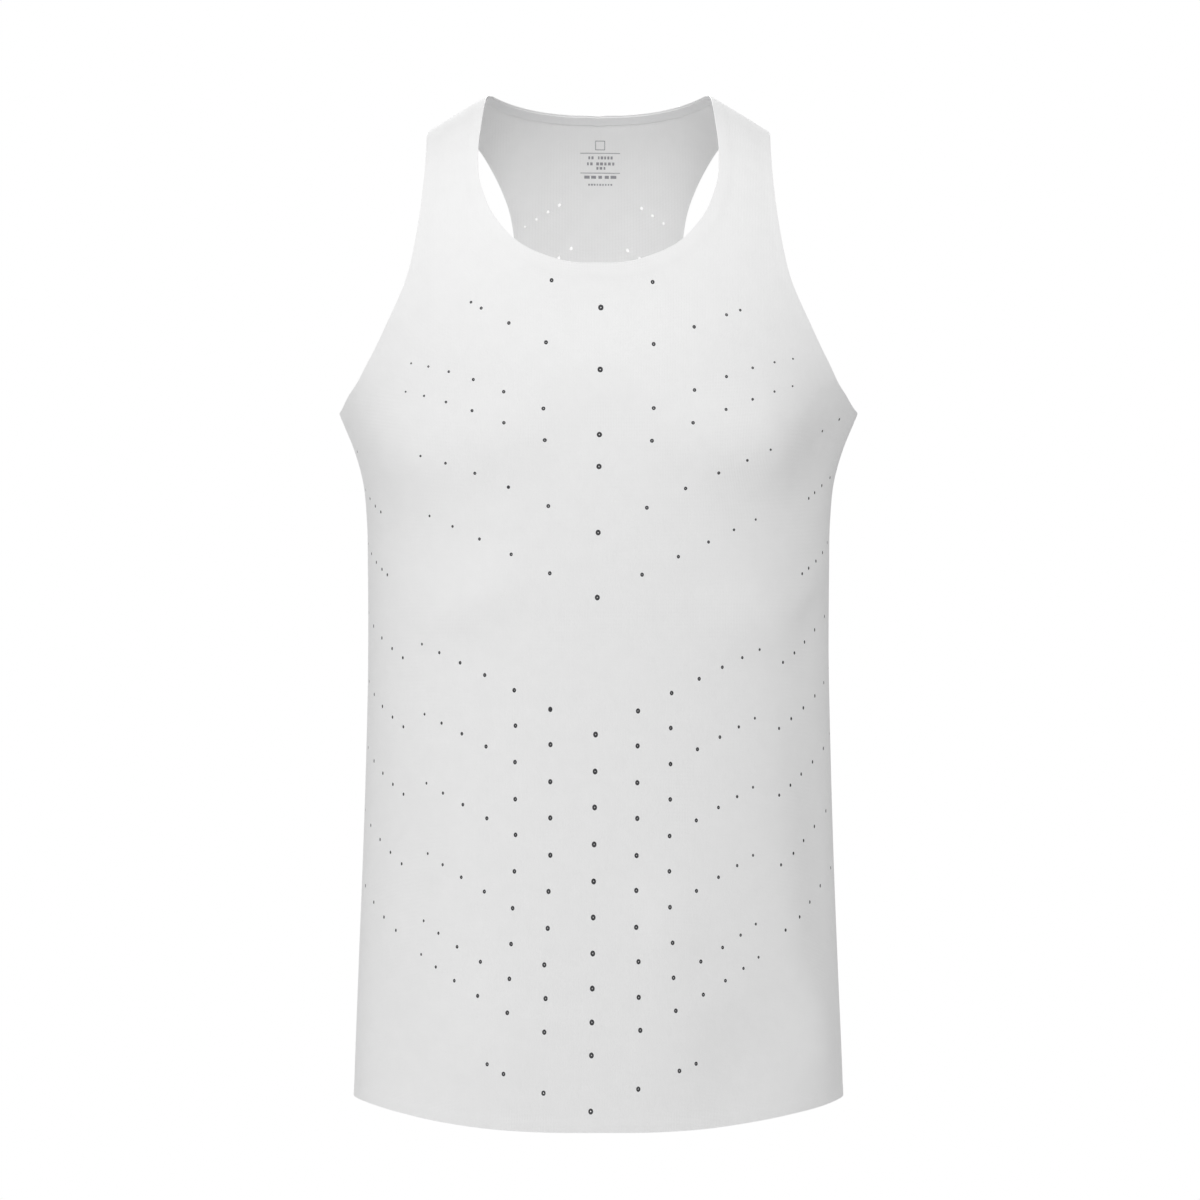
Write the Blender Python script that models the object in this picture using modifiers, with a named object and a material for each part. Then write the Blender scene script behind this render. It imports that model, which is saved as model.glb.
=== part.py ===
"""Sleeveless running singlet, hollow and filled out as if worn.

Two cloth panels, front and back, meet at the sides and over the shoulders, and a
narrow tape is bonded inside the neckline. Metres, +Z up, the front faces -Y. The
origin lies midway between the two shoulder edges, where shoulders carry the straps.

Each panel is cut flat and then laid on a plain figure. Flat places are (across, up):
across is measured round the body from the centre line, up is measured along the
cloth from the chest line, over the chest and on to the top of the shoulder.
"""

import math
from collections import namedtuple

import bmesh
import bpy
import numpy as np
from mathutils import Vector
from mathutils.geometry import delaunay_2d_cdt

FRONT, BACK = -1, 1

# Cloth and joins
WALL = 0.0012
SEAM_GAP = 0.0003
TAPE_WIDTH = 0.0070
TAPE_WALL = 0.0010
TAPE_SET_IN = 0.0006

# Figure that carries the cloth: closed sections, rounder than a box, flatter than an ellipse
Section = namedtuple("Section", "height half_width front_depth back_depth")
SECTIONS = (
    Section(-0.710, 0.1727, 0.1170, 0.1210),
    Section(-0.660, 0.1712, 0.1160, 0.1195),
    Section(-0.600, 0.1690, 0.1140, 0.1150),
    Section(-0.530, 0.1662, 0.1120, 0.1080),
    Section(-0.460, 0.1638, 0.1115, 0.1030),
    Section(-0.390, 0.1622, 0.1130, 0.1030),
    Section(-0.320, 0.1623, 0.1165, 0.1075),
    Section(-0.285, 0.1630, 0.1180, 0.1110),
    Section(-0.257, 0.1660, 0.1190, 0.1140),
    Section(-0.236, 0.1720, 0.1195, 0.1160),
    Section(-0.212, 0.1817, 0.1200, 0.1180),
    Section(-0.190, 0.1885, 0.1200, 0.1180),
    Section(-0.155, 0.1930, 0.1200, 0.1180),
    Section(0.000, 0.1950, 0.1200, 0.1180),
)
SQUARENESS = 2.3
CHEST_LINE = -0.200
SHOULDER_DEPTH = 0.105
RIDGE_TOP = 0.1009
RIDGE_SLOPE = 0.783
RIDGE_ROUND = 0.080

# Edges of the cut, seen square from the front: distance from the centre line, height
Edge = namedtuple("Edge", "off_centre height")
NECK_POINT = Edge(0.0776, 0.0139)
SHOULDER_POINT = Edge(0.1206, -0.0120)
UNDERARM = Edge(0.1817, -0.2120)
FRONT_NECK = (
    Edge(0.0000, -0.1122),
    Edge(0.0136, -0.1120),
    Edge(0.0244, -0.1105),
    Edge(0.0353, -0.1073),
    Edge(0.0462, -0.1029),
    Edge(0.0572, -0.0959),
    Edge(0.0661, -0.0866),
    Edge(0.0741, -0.0752),
    Edge(0.0787, -0.0640),
    Edge(0.0818, -0.0539),
    Edge(0.0832, -0.0318),
    Edge(0.0812, -0.0086),
    NECK_POINT,
)
BACK_NECK = (
    Edge(0.0000, 0.0060),
    Edge(0.0208, 0.0066),
    Edge(0.0323, 0.0073),
    Edge(0.0437, 0.0084),
    Edge(0.0550, 0.0101),
    Edge(0.0641, 0.0119),
    Edge(0.0710, 0.0135),
    NECK_POINT,
)
FRONT_ARMHOLE = (
    SHOULDER_POINT,
    Edge(0.1195, -0.0300),
    Edge(0.1207, -0.0565),
    Edge(0.1244, -0.0880),
    Edge(0.1320, -0.1228),
    Edge(0.1439, -0.1500),
    Edge(0.1574, -0.1770),
    Edge(0.1670, -0.1940),
    Edge(0.1765, -0.2065),
    UNDERARM,
)
BACK_ARMHOLE = (
    SHOULDER_POINT,
    Edge(0.1030, -0.0080),
    Edge(0.0870, -0.0170),
    Edge(0.0782, -0.0293),
    Edge(0.0699, -0.0452),
    Edge(0.0645, -0.0597),
    Edge(0.0612, -0.0785),
    Edge(0.0605, -0.1000),
    Edge(0.0660, -0.1260),
    Edge(0.0800, -0.1520),
    Edge(0.1050, -0.1770),
    Edge(0.1390, -0.1965),
    Edge(0.1680, -0.2080),
    UNDERARM,
)
CORNER_ROUND = 0.0040

# The hem hangs below its height at the sides by a drop, by the share of the way to the side
HemDrop = namedtuple("HemDrop", "share drop")
HEM_AT_SIDE = -0.6890
HEM_DROPS = (
    HemDrop(0.00, 0.0134),
    HemDrop(0.15, 0.0133),
    HemDrop(0.32, 0.0116),
    HemDrop(0.47, 0.0083),
    HemDrop(0.64, 0.0036),
    HemDrop(0.80, 0.0002),
    HemDrop(1.00, 0.0000),
)

# Vent rows cut through the front: a hole near the centre line and arms that rise outwards.
# An arm's first step is to its first hole, and step i is shorter by 1 + fade * i, unless a last
# step is given. The rise in degrees changes from inner to outer by the hole FULL_RISE_AT.
VentArm = namedtuple("VentArm", "holes first_step fade rise_inner rise_outer last_step", defaults=(0.0,))
VentRow = namedtuple("VentRow", "up left right")
FRONT_VENTS = (
    VentRow(0.0484, VentArm(1, 0.0378, 0.27, 27, 26), VentArm(1, 0.0391, 0.27, 25, 26)),
    VentRow(0.0122, VentArm(4, 0.0404, 0.40, 24, 43, 0.0087), VentArm(4, 0.0396, 0.30, 23, 28, 0.0107)),
    VentRow(-0.0296, VentArm(6, 0.0418, 0.42, 25, 15), VentArm(6, 0.0409, 0.35, 26, 16)),
    VentRow(-0.0512, VentArm(6, 0.0408, 0.36, 26, 13), VentArm(6, 0.0398, 0.32, 26, 17)),
    VentRow(-0.0959, VentArm(5, 0.0383, 0.27, 28, 15), VentArm(5, 0.0371, 0.26, 27, 25)),
    VentRow(-0.1399, VentArm(5, 0.0362, 0.23, 27, 22), VentArm(5, 0.0341, 0.23, 27, 23)),
    VentRow(-0.2329, VentArm(6, 0.0352, 0.26, 29, 22), VentArm(6, 0.0330, 0.27, 29, 23)),
    VentRow(-0.2580, VentArm(2, 0.0354, 0.30, 31, 16), VentArm(2, 0.0337, 0.31, 31, 16)),
    VentRow(-0.2824, VentArm(6, 0.0348, 0.26, 30, 23), VentArm(6, 0.0335, 0.29, 30, 25)),
    VentRow(-0.3075, VentArm(2, 0.0348, 0.28, 31, 14), VentArm(2, 0.0342, 0.32, 31, 24)),
    VentRow(-0.3326, VentArm(6, 0.0344, 0.25, 31, 25), VentArm(6, 0.0340, 0.30, 31, 27)),
    VentRow(-0.3570, VentArm(2, 0.0351, 0.30, 30, 29), VentArm(2, 0.0345, 0.33, 32, 20)),
    VentRow(-0.3814, VentArm(6, 0.0350, 0.27, 29, 29), VentArm(6, 0.0344, 0.30, 31, 29)),
    VentRow(-0.4051, VentArm(2, 0.0363, 0.36, 26, 52), VentArm(2, 0.0362, 0.38, 30, 25)),
    VentRow(-0.4280, VentArm(6, 0.0353, 0.26, 27, 31), VentArm(6, 0.0360, 0.33, 28, 32)),
    VentRow(-0.4503, VentArm(6, 0.0356, 0.26, 26, 31), VentArm(6, 0.0372, 0.35, 27, 32)),
    VentRow(-0.4882, VentArm(3, 0.0343, 0.15, 21, 42, 0.0129), VentArm(3, 0.0356, 0.16, 25, 14, 0.0128)),
)
FULL_RISE_AT = 5
LARGEST_VENT = 0.0038
VENT_FADE = 0.85
# The column of middle holes leans a little, and crosses the centre line at this run up
CENTRE_LEAN = 0.0128
LEAN_FROM = -0.0800

# Vent rows of the back: two arms fall from the centre line, and the long ones pass the sides.
# Counted from an arm's end, each step inwards is longer by growth, a share of the last one.
BackRow = namedtuple("BackRow", "up holes growth left_run left_fall right_run right_fall")
BACK_VENTS = (
    BackRow(0.0760, 14, 0.25, 0.323, 29.0, 0.325, 27.0),
    BackRow(0.0290, 14, 0.28, 0.321, 28.5, 0.328, 27.7),
    BackRow(-0.0230, 13, 0.16, 0.335, 28.2, 0.346, 27.8),
    BackRow(-0.0690, 14, 0.12, 0.336, 28.4, 0.348, 27.5),
    BackRow(-0.1140, 14, 0.12, 0.338, 28.5, 0.351, 27.4),
    BackRow(-0.1590, 13, 0.12, 0.342, 28.7, 0.357, 27.4),
    BackRow(-0.2030, 12, 0.12, 0.345, 28.8, 0.361, 27.2),
    BackRow(-0.2500, 5, 0.0, 0.160, 28.0, 0.160, 28.0),
    BackRow(-0.2960, 5, 0.0, 0.160, 28.0, 0.160, 28.0),
    BackRow(-0.3420, 5, 0.0, 0.160, 28.0, 0.160, 28.0),
    BackRow(-0.3880, 4, 0.0, 0.130, 28.0, 0.130, 28.0),
)
SMALLEST_VENT = 0.0014
# Holes smaller than this are left out of the solids, and so is any this near an edge
SMALLEST_CUT = 0.0029
EDGE_MARGIN = 0.0080
VENT_SIDES = 6

# Soft folds: a ridge stands out from the figure by its lift, and a trough sinks in.
# Bearings are degrees round the body from the front centre, positive towards +X.
Fold = namedtuple("Fold", "bearing_from height_from bearing_to height_to width lift")
FOLDS = (
    Fold(-84, -0.227, -29, -0.257, 0.036, 0.0085),
    Fold(-51, -0.238, -8, -0.227, 0.027, 0.0033),
    Fold(84, -0.223, 22, -0.251, 0.035, 0.0076),
    Fold(84, -0.233, 48, -0.242, 0.036, -0.0083),
    Fold(65, -0.237, 4, -0.226, 0.031, 0.0042),
    Fold(-54, -0.137, 54, -0.144, 0.036, -0.0044),
    Fold(-67, -0.372, -16, -0.316, 0.021, 0.0030),
    Fold(28, -0.338, 70, -0.376, 0.023, 0.0032),
    Fold(51, -0.368, 82, -0.308, 0.014, 0.0016),
    Fold(54, -0.377, 84, -0.334, 0.033, -0.0036),
    Fold(64, -0.350, 78, -0.688, 0.027, -0.0058),
    Fold(59, -0.461, 62, -0.700, 0.016, 0.0013),
    Fold(-60, -0.409, -59, -0.666, 0.027, -0.0041),
    Fold(-71, -0.392, -75, -0.661, 0.021, -0.0024),
    Fold(-68, -0.554, -60, -0.723, 0.031, -0.0041),
    Fold(-45, -0.575, -24, -0.719, 0.031, 0.0032),
    Fold(37, -0.602, 50, -0.740, 0.036, -0.0066),
    Fold(66, -0.580, 69, -0.722, 0.020, 0.0066),
    Fold(14, -0.520, 34, -0.610, 0.024, 0.0027),
    Fold(94, -0.180, 158, -0.330, 0.020, 0.0042),
    Fold(94, -0.214, 152, -0.360, 0.022, -0.0044),
    Fold(-94, -0.182, -150, -0.320, 0.020, 0.0046),
    Fold(-94, -0.216, -156, -0.352, 0.022, -0.0044),
    Fold(112, -0.420, 176, -0.350, 0.018, 0.0028),
    Fold(-108, -0.440, -170, -0.385, 0.020, 0.0026),
    Fold(166, -0.400, 158, -0.640, 0.024, -0.0030),
    Fold(-174, -0.420, -164, -0.660, 0.026, 0.0032),
    Fold(126, -0.540, 112, -0.740, 0.024, 0.0034),
    Fold(-132, -0.560, -120, -0.740, 0.026, -0.0034),
)
RUN_PER_DEGREE = 0.0026

# Mesh sizes, and how clear the cloth's inner places stay, as shares of its step
CLOTH_STEP = 0.0195
EDGE_STEP = 0.0095
SEAM_LINE = 0.0060
CLEAR_OF_LINES = 0.55
CLEAR_OF_VENTS = 0.45
CORNER_PLACES = 3
SLOPE_STEP = 0.0010
WELD = 1e-7

Finish = namedtuple("Finish", "name colour roughness")
FRONT_CLOTH = Finish("front perforated polyester", (0.86, 0.86, 0.86), 0.75)
BACK_CLOTH = Finish("back perforated polyester", (0.84, 0.84, 0.84), 0.75)
TAPE_CLOTH = Finish("bonded neck tape", (0.80, 0.80, 0.81), 0.65)


def smooth(at, stations, values):
    """Smooth curve through the values at the stations, held level past both ends."""
    stations, values = np.asarray(stations, float), np.asarray(values, float)
    slopes = np.gradient(values, stations)
    at = np.clip(at, stations[0], stations[-1])
    right = np.clip(np.searchsorted(stations, at), 1, len(stations) - 1)
    left = right - 1
    width = stations[right] - stations[left]
    t = (at - stations[left]) / width
    return (
        values[left] * (1 + 2 * t) * (1 - t) ** 2
        + slopes[left] * width * t * (1 - t) ** 2
        + values[right] * t**2 * (3 - 2 * t)
        + slopes[right] * width * t**2 * (t - 1)
    )


def run_along(points):
    """Distance along a line of points, from its first one."""
    steps = np.linalg.norm(np.diff(points, axis=0), axis=1)
    return np.concatenate([[0.0], np.cumsum(steps)])


# Turn over the shoulder: a quarter ellipse from the chest line up to the ridge
TURNS = np.linspace(0.0, math.pi / 2, 61)
TURN_RUNS = run_along(
    np.column_stack([SHOULDER_DEPTH * np.cos(TURNS), -CHEST_LINE * np.sin(TURNS)])
)
RIDGE_RUN = TURN_RUNS[-1]
# Angles round a quarter of a section, from the centre line to the side
BEARINGS = np.linspace(0.0, math.pi / 2, 61)
SIDEWAYS = np.sin(BEARINGS) ** (2 / SQUARENESS)
OUTWARD = np.cos(BEARINGS) ** (2 / SQUARENESS)


def ridge_height(off_centre):
    """Height of the shoulder ridge, which falls away from the neck."""
    return RIDGE_TOP - RIDGE_SLOPE * np.hypot(off_centre, RIDGE_ROUND)


def section_at(side, up):
    """(half width, depth, share of the turn, height) of the figure's section at a run up the cloth."""
    turn = np.interp(up, TURN_RUNS, TURNS)
    height = CHEST_LINE + np.minimum(up, 0.0) - CHEST_LINE * np.sin(turn)
    table = np.array(SECTIONS)
    depths = table[:, 2] if side == FRONT else table[:, 3]
    half_width = smooth(height, table[:, 0], table[:, 1])
    depth = smooth(height, table[:, 0], depths) * np.cos(turn)
    return half_width, depth, np.sin(turn), height


def section_runs(half_width, depth):
    """Distance round a quarter of a section at each bearing."""
    return run_along(np.column_stack([half_width * SIDEWAYS, depth * OUTWARD]))


def side_run(side, up):
    """Distance round the body from the centre line to the side, at a run up the cloth."""
    half_width, depth, _, _ = section_at(side, up)
    return section_runs(half_width, depth)[-1]


def on_figure(side, flat):
    """Places on the figure of flat places (across, up)."""
    places = np.empty((len(flat), 3))
    half_widths, depths, shares, heights = section_at(side, flat[:, 1])
    for i, (across, up) in enumerate(flat):
        runs = section_runs(half_widths[i], depths[i])
        x = half_widths[i] * np.interp(abs(across), runs, SIDEWAYS)
        y = depths[i] * np.interp(abs(across), runs, OUTWARD)
        rise = (ridge_height(x) - CHEST_LINE) * shares[i] if up > 0 else 0.0
        base = CHEST_LINE if up > 0 else heights[i]
        places[i] = math.copysign(x, across), side * y, base + rise
    return places


def flat_place(side, off_centre, height):
    """Flat place (across, up) of a place that is given square from the front."""
    if height > CHEST_LINE:
        share = (height - CHEST_LINE) / (ridge_height(off_centre) - CHEST_LINE)
        up = np.interp(math.asin(min(share, 1.0)), TURNS, TURN_RUNS)
    else:
        up = height - CHEST_LINE
    half_width, depth, _, _ = section_at(side, up)
    runs = section_runs(half_width, depth)
    across = np.interp(abs(off_centre) / half_width, SIDEWAYS, runs)
    return math.copysign(across, off_centre), float(up)


def fold_lift(places):
    """How far the folds carry the cloth out from the figure at each place."""
    bearings = np.degrees(np.arctan2(places[:, 0], -places[:, 1]))
    total = np.zeros(len(places))
    for fold in FOLDS:
        middle = (fold.bearing_from + fold.bearing_to) / 2
        turned = (bearings - middle + 180) % 360 - 180 + middle
        here = np.column_stack([turned * RUN_PER_DEGREE, places[:, 2]])
        start = np.array([fold.bearing_from * RUN_PER_DEGREE, fold.height_from])
        line = np.array([fold.bearing_to * RUN_PER_DEGREE, fold.height_to]) - start
        share = np.clip((here - start) @ line / (line @ line), 0.0, 1.0)
        apart = np.linalg.norm(here - start - share[:, None] * line, axis=1)
        total += fold.lift * np.exp(-((apart / fold.width) ** 2)) * np.sin(math.pi * share) ** 2
    return total


def laid(side, flat, inwards=0.0):
    """Places of flat places once the cloth lies on the figure in its folds, moved in by a distance."""
    places = on_figure(side, flat)
    across = on_figure(side, flat + [SLOPE_STEP, 0]) - on_figure(side, flat - [SLOPE_STEP, 0])
    up = on_figure(side, flat + [0, SLOPE_STEP]) - on_figure(side, flat - [0, SLOPE_STEP])
    out = np.cross(up, across) * side
    out /= np.linalg.norm(out, axis=1)[:, None]
    return places + out * (fold_lift(places) - inwards)[:, None]


def resampled(points, step=EDGE_STEP):
    """The smooth line through the points, with places an even step apart."""
    runs = run_along(points)
    at = np.linspace(0.0, runs[-1], max(2, math.ceil(runs[-1] / step)) + 1)
    return np.column_stack([smooth(at, runs, points[:, axis]) for axis in (0, 1)])


def cut_edge(side, rows):
    """Flat line of an edge that is given square from the front."""
    line = np.array([flat_place(side, row.off_centre, row.height) for row in rows])
    line[:, 1] = np.minimum(line[:, 1], RIDGE_RUN - SEAM_GAP / 2)
    return resampled(line)


def rounded(before, corner, after, radius=CORNER_ROUND):
    """Three places that round a corner off."""
    first = corner + (before - corner) * radius / np.linalg.norm(before - corner)
    last = corner + (after - corner) * radius / np.linalg.norm(after - corner)
    return np.array([first, first / 4 + corner / 2 + last / 4, last])


def hem_up(side, across):
    """Run up the cloth of the hem, which drops towards the centre."""
    at_side = HEM_AT_SIDE - CHEST_LINE
    shares, drops = np.array(HEM_DROPS).T
    return at_side - smooth(np.abs(across) / side_run(side, at_side), shares, drops)


def side_edge(side):
    """Flat line of the side, from the underarm down to the hem."""
    ups = np.array([[0.0, UNDERARM.height], [0.0, HEM_AT_SIDE]]) - CHEST_LINE
    ups = resampled(ups)[:, 1]
    return np.array([[side_run(side, up) - SEAM_GAP / 2, up] for up in ups])


def half_cut(side):
    """Named flat lines of the right half of a panel, in order from the neck to the hem."""
    neck_rows, armhole_rows = (
        (FRONT_NECK, FRONT_ARMHOLE) if side == FRONT else (BACK_NECK, BACK_ARMHOLE)
    )
    neck = cut_edge(side, neck_rows)
    armhole = cut_edge(side, armhole_rows)
    sides = side_edge(side)
    armhole[-1] = sides[0]
    hem_across = np.linspace(sides[-1, 0], 0.0, math.ceil(sides[-1, 0] / EDGE_STEP) + 1)
    hem = np.column_stack([hem_across, hem_up(side, hem_across)])
    underarm = rounded(armhole[-2], sides[0], sides[1])
    hem_corner = rounded(sides[-2], hem[0], hem[1])
    shoulder = resampled(np.array([neck[-1], armhole[0]]))
    return {
        "neck": neck,
        "shoulder": shoulder[1:-1],
        "armhole": np.vstack([armhole[:-1], underarm[:1]]),
        "side": np.vstack([underarm[1:], sides[1:-1], hem_corner]),
        "hem": hem[1:],
    }


def mirrored(line):
    """The line's copy on the left half, run the other way."""
    return line[::-1] * [-1, 1]


def both_halves(line):
    """One line over both halves, from a right half that starts on the centre line."""
    return np.vstack([mirrored(line)[:-1], line])


def whole_outline(half):
    """Closed flat outline of a panel from its right half."""
    right = np.vstack(list(half.values()))
    return np.vstack([right, mirrored(right)[1:-1]])


def tape_line(side, neck, inwards):
    """The neckline moved into the cloth, square to itself, and level with the ridge at its end."""
    ahead = np.gradient(neck, axis=0)
    ahead /= np.linalg.norm(ahead, axis=1)[:, None]
    into_cloth = np.column_stack([ahead[:, 1], -ahead[:, 0]])
    into_cloth[0] = 0, -1
    line = neck + into_cloth * inwards
    line[-1] = neck[-1] + [inwards, 0]
    line[:, 1] = np.minimum(line[:, 1], RIDGE_RUN - SEAM_GAP / 2)
    return line


def inside(points, outline):
    """Which points lie inside a closed outline."""
    x, y = points[:, None, 0], points[:, None, 1]
    x0, y0 = outline[None, :, 0], outline[None, :, 1]
    x1, y1 = np.roll(x0, -1, axis=1), np.roll(y0, -1, axis=1)
    crosses = (y0 > y) != (y1 > y)
    with np.errstate(divide="ignore", invalid="ignore"):
        left_of = x < x0 + (y - y0) * (x1 - x0) / (y1 - y0)
    return (crosses & left_of).sum(axis=1) % 2 == 1


def nearest(points, others):
    """Distance from each point to the nearest of the others."""
    if len(others) == 0:
        return np.full(len(points), np.inf)
    return np.min(np.linalg.norm(points[:, None] - others[None], axis=2), axis=1)


def front_vents():
    """(across, up, diameter) of every hole in the front's own rows."""
    holes = []
    for row in FRONT_VENTS:
        centre = CENTRE_LEAN * (row.up - LEAN_FROM)
        holes.append((centre, row.up, LARGEST_VENT))
        for hand, arm in ((-1, row.left), (1, row.right)):
            across, up = centre, row.up
            for i in range(arm.holes):
                last = arm.last_step and i == arm.holes - 1
                step = arm.last_step if last else arm.first_step / (1 + arm.fade * i)
                turned = i / FULL_RISE_AT
                rise = math.radians(arm.rise_inner * (1 - turned) + arm.rise_outer * turned)
                across += hand * step * math.cos(rise)
                up += step * math.sin(rise)
                holes.append((across, up, LARGEST_VENT * VENT_FADE ** (i + 1)))
    return holes


def back_vents():
    """(across, up, diameter) of every hole in the back's rows, as far as the sides and past them."""
    holes = []
    for row in BACK_VENTS:
        holes.append((0.0, row.up, LARGEST_VENT))
        steps = 1 + row.growth * np.arange(row.holes)[::-1]
        shares = np.cumsum(steps) / steps.sum()
        for hand, run, fall in ((-1, row.left_run, row.left_fall), (1, row.right_run, row.right_fall)):
            lean = math.radians(fall)
            for share in shares:
                diameter = LARGEST_VENT + (SMALLEST_VENT - LARGEST_VENT) * share
                across, drop = run * share * math.cos(lean), run * share * math.sin(lean)
                holes.append((hand * across, row.up - drop, diameter))
    return holes


def vents_cut(side, outline):
    """The holes that are large enough and far enough from the edges to be cut in a panel's solid."""
    holes = front_vents() if side == FRONT else back_vents()
    holes = np.array([hole for hole in holes if hole[2] >= SMALLEST_CUT])
    kept = inside(holes[:, :2], outline) & (nearest(holes[:, :2], outline) > EDGE_MARGIN)
    return holes[kept]


def vent_outline(across, up, diameter):
    """Flat places round one hole."""
    turns = np.arange(VENT_SIDES) * 2 * math.pi / VENT_SIDES
    return np.column_stack([across + diameter / 2 * np.cos(turns), up + diameter / 2 * np.sin(turns)])


def cloth_seeds(outline, lines, vents):
    """Staggered places inside the outline, clear of its edge, of the guide lines and of the holes."""
    low, high = outline.min(axis=0), outline.max(axis=0)
    rise = CLOTH_STEP * math.sqrt(3) / 2
    seeds = [
        (low[0] + CLOTH_STEP * (i + row % 2 / 2), low[1] + rise * row)
        for row in range(math.ceil((high[1] - low[1]) / rise))
        for i in range(math.ceil((high[0] - low[0]) / CLOTH_STEP))
    ]
    seeds = np.array(seeds)
    seeds = seeds[inside(seeds, outline)]
    clear = nearest(seeds, np.vstack([outline, *lines])) > CLOTH_STEP * CLEAR_OF_LINES
    clear &= nearest(seeds, vents[:, :2]) > CLOTH_STEP * CLEAR_OF_VENTS
    return seeds[clear]


def loop_edges(start, count):
    """Edges of a closed loop of places, numbered from its first one."""
    return [(start + i, start + (i + 1) % count) for i in range(count)]


def sheet_faces(outline, vents, others):
    """(flat places, triangles) of a sheet with this outline, these holes and these places inside."""
    places, edges = list(outline), loop_edges(0, len(outline))
    for vent in vents:
        edges += loop_edges(len(places), VENT_SIDES)
        places += list(vent_outline(*vent))
    places += list(others)
    found = delaunay_2d_cdt([Vector(place) for place in places], edges, [], 0, WELD)
    flat, faces = np.array(found[0]), np.array(found[2])
    middles = flat[faces].mean(axis=1)
    to_vents = np.linalg.norm(middles[:, None] - vents[None, :, :2], axis=2)
    clear_radii = vents[:, 2] / 2 * math.cos(math.pi / VENT_SIDES)
    kept = inside(middles, outline) & (to_vents > clear_radii).all(axis=1)
    return flat, faces[kept]


def new_object(name, points, faces, finish, wall, collection):
    """A named open surface, given its wall inwards from the outer face."""
    mesh = bpy.data.meshes.new(name)
    mesh.from_pydata([tuple(point) for point in points], [], [tuple(face) for face in faces])
    shape = bmesh.new()
    shape.from_mesh(mesh)
    bmesh.ops.delete(shape, geom=[v for v in shape.verts if not v.link_faces], context="VERTS")
    shape.to_mesh(mesh)
    shape.free()
    mesh.shade_smooth()
    mesh.materials.append(cloth_material(finish))
    obj = bpy.data.objects.new(name, mesh)
    collection.objects.link(obj)
    shell = obj.modifiers.new("cloth wall", "SOLIDIFY")
    shell.thickness = wall
    shell.offset = -1.0
    return obj


def add_panel(name, side, finish, collection):
    """One panel of the garment, laid on the figure."""
    half = half_cut(side)
    outline = whole_outline(half)
    seam_lines = [
        half["shoulder"] - [0, SEAM_LINE],
        half["side"][CORNER_PLACES:-CORNER_PLACES] - [SEAM_LINE, 0],
    ]
    guides = [both_halves(tape_line(side, half["neck"], TAPE_WIDTH)), *seam_lines]
    guides += [mirrored(line) for line in seam_lines]
    vents = vents_cut(side, outline)
    seeds = cloth_seeds(outline, guides, vents)
    flat, faces = sheet_faces(outline, vents, np.vstack(guides + [seeds]))
    if side == BACK:
        faces = faces[:, ::-1]
    return new_object(name, laid(side, flat), faces, finish, WALL, collection)


def add_neck_tape(name, finish, collection):
    """The tape inside the neckline: a ring over both shoulders, made from the panels' own neck places."""
    edge, inner = [], []
    for side in (FRONT, BACK):
        neck = half_cut(side)["neck"]
        rows = []
        for inwards in (TAPE_SET_IN, TAPE_WIDTH):
            line = both_halves(tape_line(side, neck, inwards))
            if side == BACK:
                line = line[::-1][1:-1]
            rows.append(laid(side, line, WALL + SEAM_GAP))
        edge.append(rows[0])
        inner.append(rows[1])
    edge, inner = np.vstack(edge), np.vstack(inner)
    count = len(edge)
    faces = []
    for i in range(count):
        j = (i + 1) % count
        faces += [(i, count + i, count + j), (i, count + j, j)]
    return new_object(name, np.vstack([edge, inner]), faces, finish, TAPE_WALL, collection)


def cloth_material(finish):
    """Principled material of a plain polyester cloth."""
    material = bpy.data.materials.new(finish.name)
    material.use_nodes = True
    material.diffuse_color = (*finish.colour, 1.0)
    shader = material.node_tree.nodes["Principled BSDF"]
    shader.inputs["Base Color"].default_value = (*finish.colour, 1.0)
    shader.inputs["Roughness"].default_value = finish.roughness
    shader.inputs["Metallic"].default_value = 0.0
    return material


def main():
    for obj in list(bpy.data.objects):
        bpy.data.objects.remove(obj, do_unlink=True)
    singlet = bpy.data.collections.new("running_singlet")
    bpy.context.scene.collection.children.link(singlet)
    add_panel("front_panel", FRONT, FRONT_CLOTH, singlet)
    add_panel("back_panel", BACK, BACK_CLOTH, singlet)
    add_neck_tape("neck_tape", TAPE_CLOTH, singlet)


if __name__ == "__main__":
    main()
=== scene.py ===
"""Sleeveless running singlet in thin white laser-vented knit, hollow and filled out as if worn.

Two panels are cut flat, vented, and laid on a plain figure in their folds. A tape is
bonded inside the neckline, the cut edges carry a fused bead, and a plain mark is
printed inside the back neck. Flat places are (across, up) in metres: across is
measured round the body from the centre line, up along the cloth from the chest line.
Metres, +Z up, the front faces -Y.
"""

import logging
import math
from dataclasses import dataclass
from enum import Enum
from typing import NamedTuple

import bmesh
import bpy
import numpy as np
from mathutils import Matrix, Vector
from mathutils.geometry import delaunay_2d_cdt
from mathutils.kdtree import KDTree


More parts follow.
